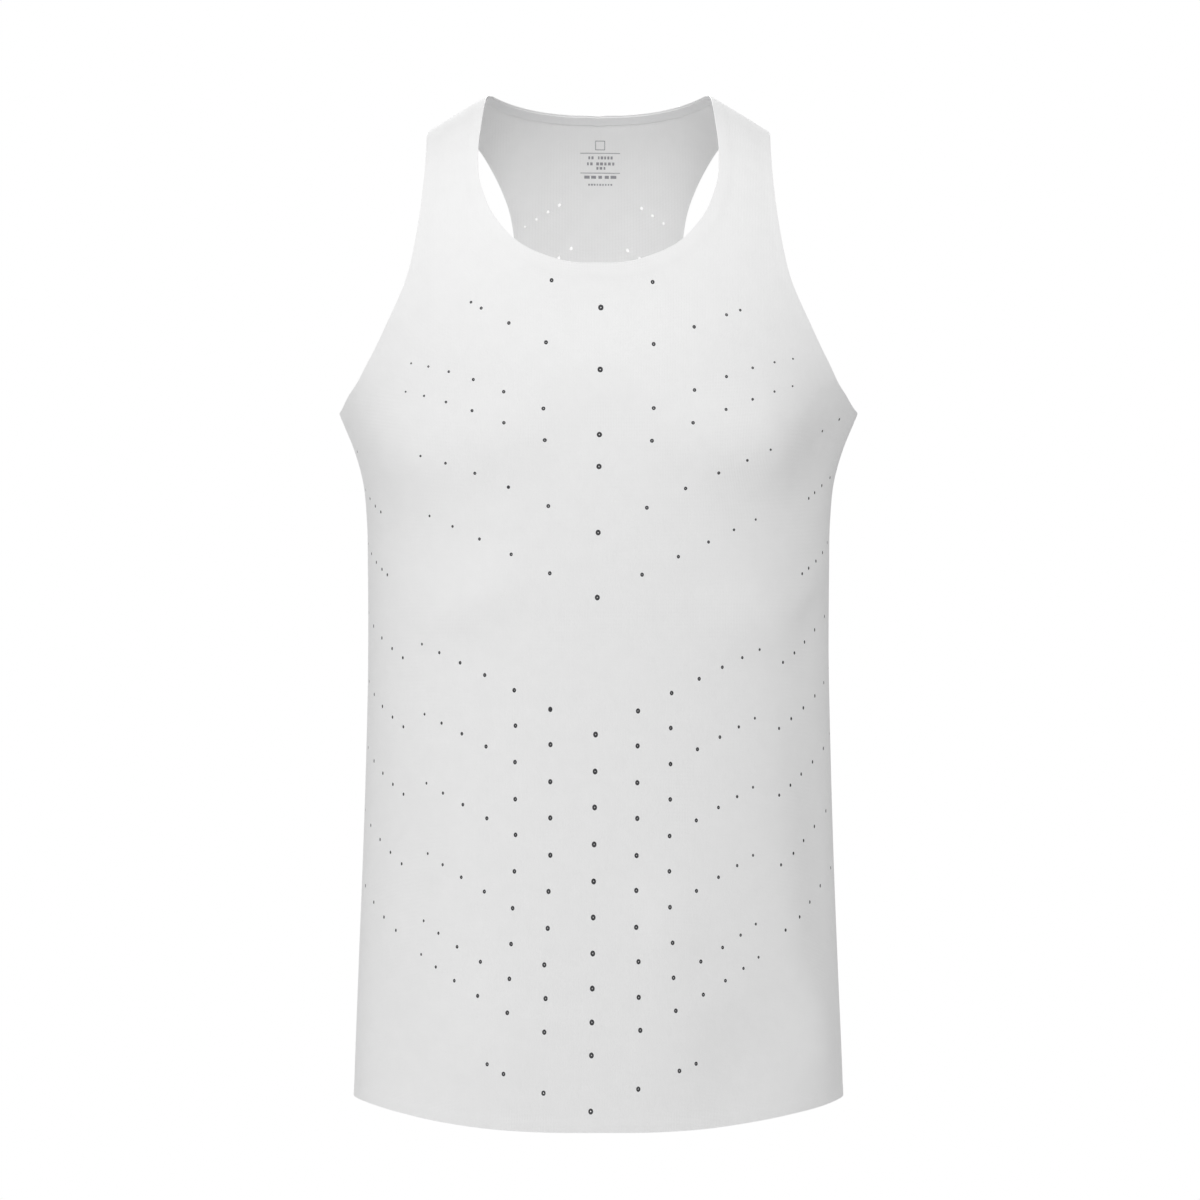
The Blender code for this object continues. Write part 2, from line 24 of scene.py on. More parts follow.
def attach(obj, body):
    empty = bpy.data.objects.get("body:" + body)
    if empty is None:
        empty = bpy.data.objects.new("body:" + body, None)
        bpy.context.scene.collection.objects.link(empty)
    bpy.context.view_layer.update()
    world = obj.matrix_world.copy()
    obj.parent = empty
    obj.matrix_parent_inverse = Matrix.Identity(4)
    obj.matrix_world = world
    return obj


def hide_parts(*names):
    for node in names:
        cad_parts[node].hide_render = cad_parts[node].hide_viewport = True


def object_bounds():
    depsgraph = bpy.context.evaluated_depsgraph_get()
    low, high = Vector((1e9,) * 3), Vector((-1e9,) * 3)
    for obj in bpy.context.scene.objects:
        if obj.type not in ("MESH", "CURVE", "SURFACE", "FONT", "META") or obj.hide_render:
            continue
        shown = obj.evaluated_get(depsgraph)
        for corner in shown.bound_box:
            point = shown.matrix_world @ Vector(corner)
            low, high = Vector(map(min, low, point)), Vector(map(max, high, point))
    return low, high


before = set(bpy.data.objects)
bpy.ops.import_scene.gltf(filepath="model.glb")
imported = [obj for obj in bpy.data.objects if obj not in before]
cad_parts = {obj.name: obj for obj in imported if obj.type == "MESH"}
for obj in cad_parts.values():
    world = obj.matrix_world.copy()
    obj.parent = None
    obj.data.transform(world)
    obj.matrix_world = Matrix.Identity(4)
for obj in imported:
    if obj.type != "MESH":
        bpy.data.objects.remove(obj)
CAD_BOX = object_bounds()

LOG = logging.getLogger("singlet")
BODY = "root"
CLOTH_WALL = 0.0006
SHARP_TURN = math.radians(42)
PHOTO_PIXELS = 1200
BEND_PLACES = 7
BEND_HALF = 4


class Side(Enum):
    """The two panels, by the sign of the way each faces along Y."""

    FRONT = -1
    BACK = 1


class Section(NamedTuple):
    """One level section of the figure that carries the cloth."""

    height: float
    half_width: float
    front_depth: float
    back_depth: float


class Edge(NamedTuple):
    """A place on a cut edge, seen square from the front."""

    off_centre: float
    height: float


class HemDrop(NamedTuple):
    """How far the hem hangs below its height at the side, by its share of the way there."""

    share: float
    drop: float


class VentArm(NamedTuple):
    """One arm of a chevron of holes; the steps shorten and the rise turns outwards."""

    holes: int
    first_step: float
    fade: float
    rise_inner: float
    rise_outer: float
    last_step: float = 0.0


class VentRow(NamedTuple):
    """A chevron of holes: one near the centre line and arms that rise outwards."""

    up: float
    arm_size: float
    left: VentArm
    right: VentArm


class BackRow(NamedTuple):
    """A row whose two arms fall from the back's centre line; growth is of each step inwards."""

    up: float
    holes: int
    growth: float
    left_run: float
    left_fall: float
    right_run: float
    right_fall: float


class ShortArm(NamedTuple):
    """A few holes on one hand of the back, away from its centre line."""

    hand: int
    across: float
    up: float
    holes: int
    step: float
    fall: float
    diameter: float
    # The last field flags a hole for a pale rim instead of the charcoal rim painted as shade.
    clean: bool


class Softbox(NamedTuple):
    """A square soft light: where it stands, its width and its power in watts."""

    name: str
    place: tuple[float, float, float]
    width: float
    power: float


class Fold(NamedTuple):
    """A soft fold between two places: bearings in degrees from the front, towards +X."""

    bearing_from: float
    height_from: float
    bearing_to: float
    height_to: float
    width: float
    lift: float


SECTIONS = (
    Section(-0.710, 0.1727, 0.1170, 0.1210),
    Section(-0.660, 0.1712, 0.1160, 0.1195),
    Section(-0.600, 0.1690, 0.1140, 0.1150),
    Section(-0.530, 0.1662, 0.1120, 0.1080),
    Section(-0.460, 0.1638, 0.1115, 0.1030),
    Section(-0.390, 0.1622, 0.1130, 0.1030),
    Section(-0.320, 0.1623, 0.1165, 0.1075),
    Section(-0.285, 0.1630, 0.1180, 0.1110),
    Section(-0.257, 0.1660, 0.1190, 0.1140),
    Section(-0.236, 0.1720, 0.1195, 0.1160),
    Section(-0.212, 0.1817, 0.1200, 0.1180),
    Section(-0.190, 0.1885, 0.1200, 0.1180),
    Section(-0.155, 0.1930, 0.1200, 0.1180),
    Section(0.000, 0.1950, 0.1200, 0.1180),
)
NECK_POINT = Edge(0.0776, 0.0139)
SHOULDER_POINT = Edge(0.1206, -0.0120)
UNDERARM = Edge(0.1817, -0.2120)
NECK_EDGES = {
    Side.FRONT: (
        Edge(0.0000, -0.1122),
        Edge(0.0136, -0.1120),
        Edge(0.0244, -0.1105),
        Edge(0.0353, -0.1073),
        Edge(0.0462, -0.1029),
        Edge(0.0572, -0.0959),
        Edge(0.0661, -0.0866),
        Edge(0.0741, -0.0752),
        Edge(0.0787, -0.0640),
        Edge(0.0818, -0.0539),
        Edge(0.0832, -0.0318),
        Edge(0.0812, -0.0086),
        NECK_POINT,
    ),
    Side.BACK: (
        Edge(0.0000, 0.0060),
        Edge(0.0208, 0.0066),
        Edge(0.0323, 0.0073),
        Edge(0.0437, 0.0084),
        Edge(0.0550, 0.0101),
        Edge(0.0641, 0.0119),
        Edge(0.0710, 0.0135),
        NECK_POINT,
    ),
}
ARMHOLE_EDGES = {
    Side.FRONT: (
        SHOULDER_POINT,
        Edge(0.1195, -0.0300),
        Edge(0.1207, -0.0565),
        Edge(0.1244, -0.0880),
        Edge(0.1320, -0.1228),
        Edge(0.1439, -0.1500),
        Edge(0.1574, -0.1770),
        Edge(0.1670, -0.1940),
        Edge(0.1765, -0.2065),
        UNDERARM,
    ),
    Side.BACK: (
        SHOULDER_POINT,
        Edge(0.1030, -0.0080),
        Edge(0.0870, -0.0170),
        Edge(0.0782, -0.0293),
        Edge(0.0699, -0.0452),
        Edge(0.0645, -0.0597),
        Edge(0.0612, -0.0785),
        Edge(0.0605, -0.1000),
        Edge(0.0660, -0.1260),
        Edge(0.0800, -0.1520),
        Edge(0.1050, -0.1770),
        Edge(0.1390, -0.1965),
        Edge(0.1680, -0.2080),
        UNDERARM,
    ),
}
HEM_DROPS = (
    HemDrop(0.00, 0.0134),
    HemDrop(0.15, 0.0133),
    HemDrop(0.32, 0.0116),
    HemDrop(0.47, 0.0083),
    HemDrop(0.64, 0.0036),
    HemDrop(0.80, 0.0002),
    HemDrop(1.00, 0.0000),
)
FRONT_VENTS = (
    VentRow(0.0484, 0.0027, VentArm(1, 0.0378, 0.27, 27, 26), VentArm(1, 0.0391, 0.27, 25, 26)),
    VentRow(
        0.0122, 0.0027, VentArm(4, 0.0404, 0.40, 24, 43, 0.0087), VentArm(4, 0.0396, 0.30, 23, 28, 0.0107)
    ),
    VentRow(-0.0296, 0.0027, VentArm(6, 0.0418, 0.42, 25, 15), VentArm(6, 0.0409, 0.35, 26, 16)),
    VentRow(-0.0512, 0.0027, VentArm(6, 0.0408, 0.36, 26, 13), VentArm(6, 0.0398, 0.32, 26, 17)),
    VentRow(-0.0959, 0.0027, VentArm(5, 0.0383, 0.27, 28, 15), VentArm(5, 0.0371, 0.26, 27, 25)),
    VentRow(-0.1399, 0.0027, VentArm(5, 0.0362, 0.23, 27, 22), VentArm(5, 0.0341, 0.23, 27, 23)),
    VentRow(-0.2329, 0.0033, VentArm(6, 0.0352, 0.26, 29, 22), VentArm(6, 0.0330, 0.27, 29, 23)),
    VentRow(-0.2580, 0.0033, VentArm(2, 0.0354, 0.30, 31, 16), VentArm(2, 0.0337, 0.31, 31, 16)),
    VentRow(-0.2824, 0.0033, VentArm(6, 0.0348, 0.26, 30, 23), VentArm(6, 0.0335, 0.29, 30, 25)),
    VentRow(-0.3075, 0.0033, VentArm(2, 0.0348, 0.28, 31, 14), VentArm(2, 0.0342, 0.32, 31, 24)),
    VentRow(-0.3326, 0.0033, VentArm(6, 0.0344, 0.25, 31, 25), VentArm(6, 0.0340, 0.30, 31, 27)),
    VentRow(-0.3570, 0.0033, VentArm(2, 0.0351, 0.30, 30, 29), VentArm(2, 0.0345, 0.33, 32, 20)),
    VentRow(-0.3814, 0.0033, VentArm(6, 0.0350, 0.27, 29, 29), VentArm(6, 0.0344, 0.30, 31, 29)),
    VentRow(-0.4051, 0.0033, VentArm(2, 0.0363, 0.36, 26, 52), VentArm(2, 0.0362, 0.38, 30, 25)),
    VentRow(-0.4280, 0.0033, VentArm(6, 0.0353, 0.26, 27, 31), VentArm(6, 0.0360, 0.33, 28, 32)),
    VentRow(-0.4503, 0.0033, VentArm(6, 0.0356, 0.26, 26, 31), VentArm(6, 0.0372, 0.35, 27, 32)),
    VentRow(
        -0.4882, 0.0033, VentArm(3, 0.0343, 0.15, 21, 42, 0.0129), VentArm(3, 0.0356, 0.16, 25, 14, 0.0128)
    ),
)
BACK_VENTS = (
    BackRow(0.0760, 14, 0.25, 0.323, 29.0, 0.325, 27.0),
    BackRow(0.0290, 14, 0.28, 0.321, 28.5, 0.328, 27.7),
    BackRow(-0.0230, 13, 0.16, 0.335, 28.2, 0.346, 27.8),
    BackRow(-0.0690, 14, 0.12, 0.336, 28.4, 0.348, 27.5),
    BackRow(-0.1140, 14, 0.12, 0.338, 28.5, 0.351, 27.4),
    BackRow(-0.1590, 13, 0.12, 0.342, 28.7, 0.357, 27.4),
    BackRow(-0.2030, 12, 0.12, 0.345, 28.8, 0.361, 27.2),
    BackRow(-0.2500, 5, 0.0, 0.160, 28.0, 0.160, 28.0),
    BackRow(-0.2960, 5, 0.0, 0.160, 28.0, 0.160, 28.0),
    BackRow(-0.3420, 5, 0.0, 0.160, 28.0, 0.160, 28.0),
    BackRow(-0.3880, 4, 0.0, 0.130, 28.0, 0.130, 28.0),
)
SHORT_ARMS = (
    ShortArm(-1, 0.0284, 0.1271, 4, 0.0090, 21, 0.0026, True),
    ShortArm(1, 0.0313, 0.1252, 3, 0.0087, 23, 0.0026, True),
    ShortArm(-1, 0.0200, 0.0984, 2, 0.0102, 29, 0.0026, True),
    ShortArm(1, 0.0212, 0.0973, 2, 0.0098, 26, 0.0026, True),
    ShortArm(-1, 0.2670, -0.0380, 1, 0.0140, 30, 0.0021, False),
    ShortArm(1, 0.2940, -0.0170, 2, 0.0142, 39, 0.0021, False),
)
FOLDS = (
    Fold(-84, -0.227, -29, -0.257, 0.036, 0.0085),
    Fold(-51, -0.238, -8, -0.227, 0.027, 0.0033),
    Fold(84, -0.223, 22, -0.251, 0.035, 0.0076),
    Fold(84, -0.233, 48, -0.242, 0.036, -0.0083),
    Fold(65, -0.237, 4, -0.226, 0.031, 0.0042),
    Fold(-54, -0.137, 54, -0.144, 0.036, -0.0044),
    Fold(-67, -0.372, -16, -0.316, 0.021, 0.0030),
    Fold(28, -0.338, 70, -0.376, 0.023, 0.0032),
    Fold(51, -0.368, 82, -0.308, 0.014, 0.0016),
    Fold(54, -0.377, 84, -0.334, 0.033, -0.0036),
    Fold(64, -0.350, 78, -0.688, 0.027, -0.0058),
    Fold(59, -0.461, 62, -0.700, 0.016, 0.0013),
    Fold(-60, -0.409, -59, -0.666, 0.027, -0.0041),
    Fold(-71, -0.392, -75, -0.661, 0.021, -0.0024),
    Fold(-68, -0.554, -60, -0.723, 0.031, -0.0041),
    Fold(-45, -0.575, -24, -0.719, 0.031, 0.0032),
    Fold(37, -0.602, 50, -0.722, 0.034, -0.0064),
    Fold(66, -0.580, 69, -0.706, 0.020, 0.0062),
    Fold(14, -0.520, 34, -0.610, 0.024, 0.0027),
    Fold(94, -0.180, 158, -0.330, 0.020, 0.0042),
    Fold(94, -0.214, 152, -0.360, 0.022, -0.0044),
    Fold(-94, -0.182, -150, -0.320, 0.020, 0.0046),
    Fold(-94, -0.216, -156, -0.352, 0.022, -0.0044),
    Fold(112, -0.420, 176, -0.350, 0.018, 0.0028),
    Fold(-108, -0.440, -170, -0.385, 0.020, 0.0026),
    Fold(166, -0.400, 158, -0.640, 0.024, -0.0030),
    Fold(-174, -0.420, -164, -0.660, 0.026, 0.0032),
    Fold(126, -0.540, 112, -0.740, 0.024, 0.0034),
    Fold(-132, -0.560, -120, -0.740, 0.026, -0.0034),
)
SOFTBOXES = (
    Softbox("front", (0.2, -3.4, 1.3), 2.0, 28.7),
    Softbox("left", (-2.4, -0.8, 0.0), 1.6, 10.9),
    Softbox("neck", (0.05, -0.85, 0.75), 0.4, 4.5),
    Softbox("back", (-0.1, 2.8, 1.2), 1.8, 55.0),
)


def smooth(at: np.ndarray, stations: np.ndarray, values: np.ndarray) -> np.ndarray:
    """Smooth curve through values at stations, held level past both ends.

    Args:
        at: Where the curve is read.
        stations: Rising places of the values.
        values: The curve's value at each station.

    Returns:
        The curve's value at each place.
    """
    slopes = np.gradient(values, stations)
    at = np.clip(at, stations[0], stations[-1])
    right = np.clip(np.searchsorted(stations, at), 1, len(stations) - 1)
    left = right - 1
    width = stations[right] - stations[left]
    t = (at - stations[left]) / width
    return (
        values[left] * (1 + 2 * t) * (1 - t) ** 2
        + slopes[left] * width * t * (1 - t) ** 2
        + values[right] * t**2 * (3 - 2 * t)
        + slopes[right] * width * t**2 * (t - 1)
    )


def run_along(points: np.ndarray) -> np.ndarray:
    """Distance along a line of points, from its first one."""
    steps = np.linalg.norm(np.diff(points, axis=0), axis=1)
    return np.concatenate([[0.0], np.cumsum(steps)])


def resampled(points: np.ndarray, step: float) -> np.ndarray:
    """The smooth line through the points, with places an even step apart."""
    runs = run_along(points)
    at = np.linspace(0.0, runs[-1], max(2, math.ceil(runs[-1] / step)) + 1)
    return np.column_stack([smooth(at, runs, points[:, axis]) for axis in (0, 1)])


def mirrored(line: np.ndarray) -> np.ndarray:
    """The line's copy on the left half, run the other way."""
    return line[::-1] * [-1, 1]


def both_halves(line: np.ndarray) -> np.ndarray:
    """One line over both halves, from a right half that starts on the centre line."""
    return np.vstack([mirrored(line)[:-1], line])


def rounded(before: np.ndarray, corner: np.ndarray, after: np.ndarray, radius: float) -> np.ndarray:
    """Places of a smooth bend that rounds a corner off."""
    first = corner + (before - corner) * radius / np.linalg.norm(before - corner)
    last = corner + (after - corner) * radius / np.linalg.norm(after - corner)
    shares = np.linspace(0.0, 1.0, BEND_PLACES)[:, None]
    return first * (1 - shares) ** 2 + corner * 2 * shares * (1 - shares) + last * shares**2


def inside(points: np.ndarray, outline: np.ndarray) -> np.ndarray:
    """Which points lie inside a closed outline."""
    found = np.zeros(len(points), bool)
    with np.errstate(divide="ignore", invalid="ignore"):
        for (x0, y0), (x1, y1) in zip(outline, np.roll(outline, -1, axis=0)):
            crosses = (y0 > points[:, 1]) != (y1 > points[:, 1])
            found ^= crosses & (points[:, 0] < x0 + (points[:, 1] - y0) * (x1 - x0) / (y1 - y0))
    return found


def nearest(points: np.ndarray, others: np.ndarray) -> np.ndarray:
    """Distance from each flat point to the nearest of the others."""
    if len(others) == 0:
        return np.full(len(points), np.inf)
    tree = KDTree(len(others))
    for i, (x, y) in enumerate(others):
        tree.insert((x, y, 0.0), i)
    tree.balance()
    return np.array([tree.find((x, y, 0.0))[2] for x, y in points])


def eased(share: np.ndarray) -> np.ndarray:
    """A step from 0 to 1 with soft ends."""
    share = np.clip(share, 0.0, 1.0)
    return share * share * (3 - 2 * share)


@dataclass(frozen=True)
class Figure:
    """The plain figure that carries the cloth: level sections that turn over the shoulders."""

    squareness: float = 2.3
    chest_line: float = -0.200
    shoulder_depth: float = 0.105
    ridge_top: float = 0.1009
    ridge_slope: float = 0.783
    ridge_round: float = 0.080
    run_per_degree: float = 0.0026
    samples: int = 181
    slope_step: float = 0.0010

    def __post_init__(self) -> None:
        """Works out the tables that the methods read."""
        turns = np.linspace(0.0, math.pi / 2, self.samples)
        over = np.column_stack([self.shoulder_depth * np.cos(turns), -self.chest_line * np.sin(turns)])
        object.__setattr__(self, "turns", turns)
        object.__setattr__(self, "turn_runs", run_along(over))
        object.__setattr__(self, "sideways", np.sin(turns) ** (2 / self.squareness))
        object.__setattr__(self, "outward", np.cos(turns) ** (2 / self.squareness))
        object.__setattr__(self, "table", np.array(SECTIONS))

    @property
    def ridge_run(self) -> float:
        """Run up the cloth from the chest line to the shoulder ridge."""
        return float(self.turn_runs[-1])

    def ridge_height(self, off_centre: np.ndarray) -> np.ndarray:
        """Height of the shoulder ridge, which falls away from the neck."""
        return self.ridge_top - self.ridge_slope * np.hypot(off_centre, self.ridge_round)

    def section_at(self, side: Side, up: np.ndarray) -> tuple[np.ndarray, ...]:
        """The figure's section at runs up the cloth.

        Args:
            side: Front or back.
            up: Runs up the cloth from the chest line.

        Returns:
            Half width, depth, share of the turn over the shoulder, and height.
        """
        turn = np.interp(up, self.turn_runs, self.turns)
        height = self.chest_line + np.minimum(up, 0.0) - self.chest_line * np.sin(turn)
        depths = self.table[:, 2] if side is Side.FRONT else self.table[:, 3]
        half_width = smooth(height, self.table[:, 0], self.table[:, 1])
        depth = smooth(height, self.table[:, 0], depths) * np.cos(turn)
        return half_width, depth, np.sin(turn), height

    def quarter(self, half_width: np.ndarray, depth: np.ndarray) -> tuple[np.ndarray, ...]:
        """(x, y, run) round a quarter of each section, one row for each section."""
        xs = np.atleast_1d(half_width)[:, None] * self.sideways
        ys = np.atleast_1d(depth)[:, None] * self.outward
        steps = np.hypot(np.diff(xs, axis=1), np.diff(ys, axis=1))
        runs = np.concatenate([np.zeros((len(xs), 1)), np.cumsum(steps, axis=1)], axis=1)
        return xs, ys, runs

    def side_run(self, side: Side, up: float) -> float:
        """Distance round the body from the centre line to the side, at a run up the cloth."""
        half_width, depth, _, _ = self.section_at(side, np.array([up]))
        return float(self.quarter(half_width, depth)[2][0, -1])

    def on_figure(self, side: Side, flat: np.ndarray) -> np.ndarray:
        """Places on the bare figure of flat places."""
        half_widths, depths, shares, heights = self.section_at(side, flat[:, 1])
        xs, ys, runs = self.quarter(half_widths, depths)
        across = np.abs(flat[:, 0])
        rows = np.arange(len(flat))
        right = np.clip((runs < across[:, None]).sum(axis=1), 1, self.samples - 1)
        left = right - 1
        t = (across - runs[rows, left]) / (runs[rows, right] - runs[rows, left])
        x = xs[rows, left] * (1 - t) + xs[rows, right] * t
        y = ys[rows, left] * (1 - t) + ys[rows, right] * t
        rise = (self.ridge_height(x) - self.chest_line) * shares
        z = np.where(flat[:, 1] > 0, self.chest_line + rise, heights)
        return np.column_stack([np.copysign(x, flat[:, 0]), side.value * y, z])

    def flat_place(self, side: Side, edge: Edge) -> tuple[float, float]:
        """Flat place of a place that is given square from the front."""
        if edge.height > self.chest_line:
            whole = self.ridge_height(edge.off_centre) - self.chest_line
            share = min((edge.height - self.chest_line) / whole, 1.0)
            up = float(np.interp(math.asin(share), self.turns, self.turn_runs))
        else:
            up = edge.height - self.chest_line
        half_width, depth, _, _ = self.section_at(side, np.array([up]))
        _, _, runs = self.quarter(half_width, depth)
        across = np.interp(edge.off_centre / half_width[0], self.sideways, runs[0])
        return float(across), up

    def fold_lift(self, places: np.ndarray) -> np.ndarray:
        """How far the folds carry the cloth out from the figure at each place."""
        bearings = np.degrees(np.arctan2(places[:, 0], -places[:, 1]))
        total = np.zeros(len(places))
        for fold in FOLDS:
            middle = (fold.bearing_from + fold.bearing_to) / 2
            turned = (bearings - middle + 180) % 360 - 180 + middle
            here = np.column_stack([turned * self.run_per_degree, places[:, 2]])
            start = np.array([fold.bearing_from * self.run_per_degree, fold.height_from])
            line = np.array([fold.bearing_to * self.run_per_degree, fold.height_to]) - start
            share = np.clip((here - start) @ line / (line @ line), 0.0, 1.0)
            apart = np.linalg.norm(here - start - share[:, None] * line, axis=1)
            fade = np.exp(-((apart / fold.width) ** 2)) * np.sin(math.pi * share) ** 2
            total += fold.lift * fade
        return total

    def ways(self, side: Side, flat: np.ndarray) -> tuple[np.ndarray, np.ndarray]:
        """Unit ways out of the bare figure and up its face, at flat places."""
        step = self.slope_step
        across = self.on_figure(side, flat + [step, 0]) - self.on_figure(side, flat - [step, 0])
        up = self.on_figure(side, flat + [0, step]) - self.on_figure(side, flat - [0, step])
        out = np.cross(up, across) * side.value
        out /= np.linalg.norm(out, axis=1)[:, None]
        return out, up / np.linalg.norm(up, axis=1)[:, None]

    def laid(self, side: Side, flat: np.ndarray, lift: np.ndarray | float = 0.0) -> np.ndarray:
        """Places of flat places once the cloth lies on the figure in its folds.

        Args:
            side: Front or back.
            flat: Flat places, one row each.
            lift: Distance out from the cloth's face, negative towards the hollow.

        Returns:
            Places in the garment's frame, one row each.
        """
        places = self.on_figure(side, flat)
        out, _ = self.ways(side, flat)
        return places + out * (self.fold_lift(places) + lift)[:, None]


FIGURE = Figure()


def linear(hex_colour: str) -> tuple[float, float, float, float]:
    """Linear colour, with alpha, of an sRGB hex value such as "F4F4F5"."""
    parts = [int(hex_colour[i : i + 2], 16) / 255 for i in (0, 2, 4)]
    return (*(p / 12.92 if p <= 0.04045 else ((p + 0.055) / 1.055) ** 2.4 for p in parts), 1.0)


def add_node(tree: bpy.types.NodeTree, kind: str, inputs: dict | None = None, **settings) -> bpy.types.Node:
    """Adds one node to a tree.

    Args:
        tree: The shader or geometry tree.
        kind: Blender's name of the node type.
        inputs: Values for inputs by name or number; a socket there is linked instead.
        **settings: Properties of the node itself.

    Returns:
        The new node.
    """
    node = tree.nodes.new(kind)
    for name, value in settings.items():
        setattr(node, name, value)
    for name, value in (inputs or {}).items():
        if isinstance(value, bpy.types.NodeSocket):
            tree.links.new(value, node.inputs[name])
        else:
            node.inputs[name].default_value = value
    return node


def linked(name: str, data: bpy.types.ID) -> bpy.types.Object:
    """A new object of the scene, at its origin."""
    made = bpy.data.objects.new(name, data)
    bpy.context.scene.collection.objects.link(made)
    return made


def maths(
    tree: bpy.types.NodeTree,
    operation: str,
    first: bpy.types.NodeSocket | float,
    second: bpy.types.NodeSocket | float,
) -> bpy.types.NodeSocket:
    """A sum, difference or product of two numbers in a tree."""
    return add_node(tree, "ShaderNodeMath", {0: first, 1: second}, operation=operation).outputs[0]


def tint(
    tree: bpy.types.NodeTree, shader: bpy.types.Node, mottle: bpy.types.Node, colour: str, shade: str
) -> None:
    """Colours a shader between two hex values by a mottle."""
    tone = add_node(
        tree,
        "ShaderNodeMix",
        {"Factor": mottle.outputs["Fac"], 6: linear(colour), 7: linear(shade)},
        data_type="RGBA",
    )
    tree.links.new(tone.outputs[2], shader.inputs["Base Color"])


def shader_material(name: str) -> tuple[bpy.types.Material, bpy.types.Node]:
    """A new node material and its Principled shader."""
    material = bpy.data.materials.new(name)
    material.use_nodes = True
    return material, material.node_tree.nodes["Principled BSDF"]


@dataclass(frozen=True)
class KnitFinish:
    """White polyester interlock, knitted fine and heat set.

    It looks smooth and matt with a faint soft bloom at glancing angles, and from close
    by shows upright wales. The real wales are 0.4 mm apart; they are drawn coarser, as
    wide as wale, so that they show at all.
    """

    name: str
    colour: str = "F3F3F3"
    shade: str = "EEEEEE"
    roughness: float = 0.72
    ior: float = 1.50
    sheen: float = 0.20
    wale: float = 0.0011
    course: float = 0.0009
    relief: float = 0.00016
    bump: float = 0.6
    mottle_scale: float = 70.0
    mottle_detail: float = 5.0

    def material(self) -> bpy.types.Material:
        """Builds the material, which reads the flat cut's places as its UV map."""
        material, shader = shader_material(self.name)
        tree = material.node_tree
        flat = add_node(tree, "ShaderNodeUVMap", uv_map="cut").outputs["UV"]
        wales, courses = (
            add_node(
                tree,
                "ShaderNodeTexWave",
                {"Vector": flat, "Scale": math.pi / 10 / pitch, "Distortion": 0.0},
                bands_direction=way,
            )
            for pitch, way in ((self.wale, "X"), (self.course, "Y"))
        )
        mottle = add_node(
            tree,
            "ShaderNodeTexNoise",
            {"Vector": flat, "Scale": self.mottle_scale, "Detail": self.mottle_detail},
        )
        loops = maths(tree, "MULTIPLY", wales.outputs["Fac"], courses.outputs["Fac"])
        grain = maths(tree, "ADD", loops, mottle.outputs["Fac"])
        bump = add_node(
            tree, "ShaderNodeBump", {"Height": grain, "Distance": self.relief, "Strength": self.bump}
        )
        tint(tree, shader, mottle, self.colour, self.shade)
        tree.links.new(bump.outputs["Normal"], shader.inputs["Normal"])
        shader.inputs["Roughness"].default_value = self.roughness
        shader.inputs["IOR"].default_value = self.ior
        shader.inputs["Sheen Weight"].default_value = self.sheen
        return material


@dataclass(frozen=True)
class PlainFinish:
    """A smooth polymer finish with a faint mottle: tape film, fused edge or print ink."""

    name: str
    colour: str
    shade: str
    roughness: float
    ior: float = 1.50
    mottle_scale: float = 400.0

    def material(self) -> bpy.types.Material:
        """Builds the material on the object's own coordinates."""
        material, shader = shader_material(self.name)
        tree = material.node_tree
        place = add_node(tree, "ShaderNodeTexCoord")
        mottle = add_node(
            tree, "ShaderNodeTexNoise", {"Vector": place.outputs["Object"], "Scale": self.mottle_scale}
        )
        tint(tree, shader, mottle, self.colour, self.shade)
        shader.inputs["Roughness"].default_value = self.roughness
        shader.inputs["IOR"].default_value = self.ior
        return material


# Hot-melt film on knit tape: a shade smoother and greyer than the cloth beside it.
TAPE_FINISH = PlainFinish("bonded polyester stretch tape", "EEEEEE", "E9E9EA", 0.60)
# Yarn ends melted by the laser set into a hard glassy bead, which catches a thin light line.
BEAD_FINISH = PlainFinish("laser-fused polyester bead", "F4F4F4", "EFEFEF", 0.45)
# Painted shade: each vent holds a charcoal rim that stands for the shadow in the hole's wall and the dark
# hollow seen through it, so each hole reads as a dark dot.
RIM_SHADE_FINISH = PlainFinish("vent rim painted dark as shade", "303033", "47474A", 0.80)
# Thin heat-transfer ink that sinks into the knit, dull and uneven.
INK_FINISH = PlainFinish("grey heat-transfer ink", "8E8E92", "A2A2A6", 0.75, mottle_scale=900.0)


def new_piece(name: str, mesh: bpy.types.Mesh, material: bpy.types.Material) -> bpy.types.Object:
    """Links a finished mesh as one piece of the garment.

    Args:
        name: The piece's name.
        mesh: Its mesh, in the garment's frame.
        material: Its finish.

    Returns:
        The piece, riding on the garment's one body.
    """
    mesh.name = name
    mesh.materials.clear()
    mesh.materials.append(material)
    mesh.shade_smooth()
    mesh.set_sharp_from_angle(angle=SHARP_TURN)
    piece = linked(name, mesh)
    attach(piece, BODY)
    return piece


def mesh_of(name: str, points: np.ndarray, faces: list, edges: list | None = None) -> bpy.types.Mesh:
    """A mesh from rows of places, with faces or bare edges between them."""
    mesh = bpy.data.meshes.new(name)
    mesh.from_pydata(points.tolist(), edges or [], [tuple(face) for face in faces])
    return mesh


def keep_vectors(mesh: bpy.types.Mesh, name: str, rows: np.ndarray) -> None:
    """Keeps one vector for each place of a mesh, as a named attribute."""
    kept = mesh.attributes.new(name, "FLOAT_VECTOR", "POINT")
    kept.data.foreach_set("vector", np.asarray(rows, np.float32).ravel())


def thickened(outer: np.ndarray, inner: np.ndarray, faces: np.ndarray) -> tuple[np.ndarray, list]:
    """A closed wall between two skins that share the same faces.

    Args:
        outer: Places of the outer skin.
        inner: Places of the inner skin, in the same order.
        faces: Triangles of the outer skin, facing out.

    Returns:
        Places and faces of the wall, turned at every edge and hole.
    """
    count = len(outer)
    steps = {(a, b) for face in faces.tolist() for a, b in zip(face, face[1:] + face[:1])}
    turned = [(b, a, a + count, b + count) for a, b in steps if (b, a) not in steps]
    return np.vstack([outer, inner]), faces.tolist() + (faces[:, ::-1] + count).tolist() + turned


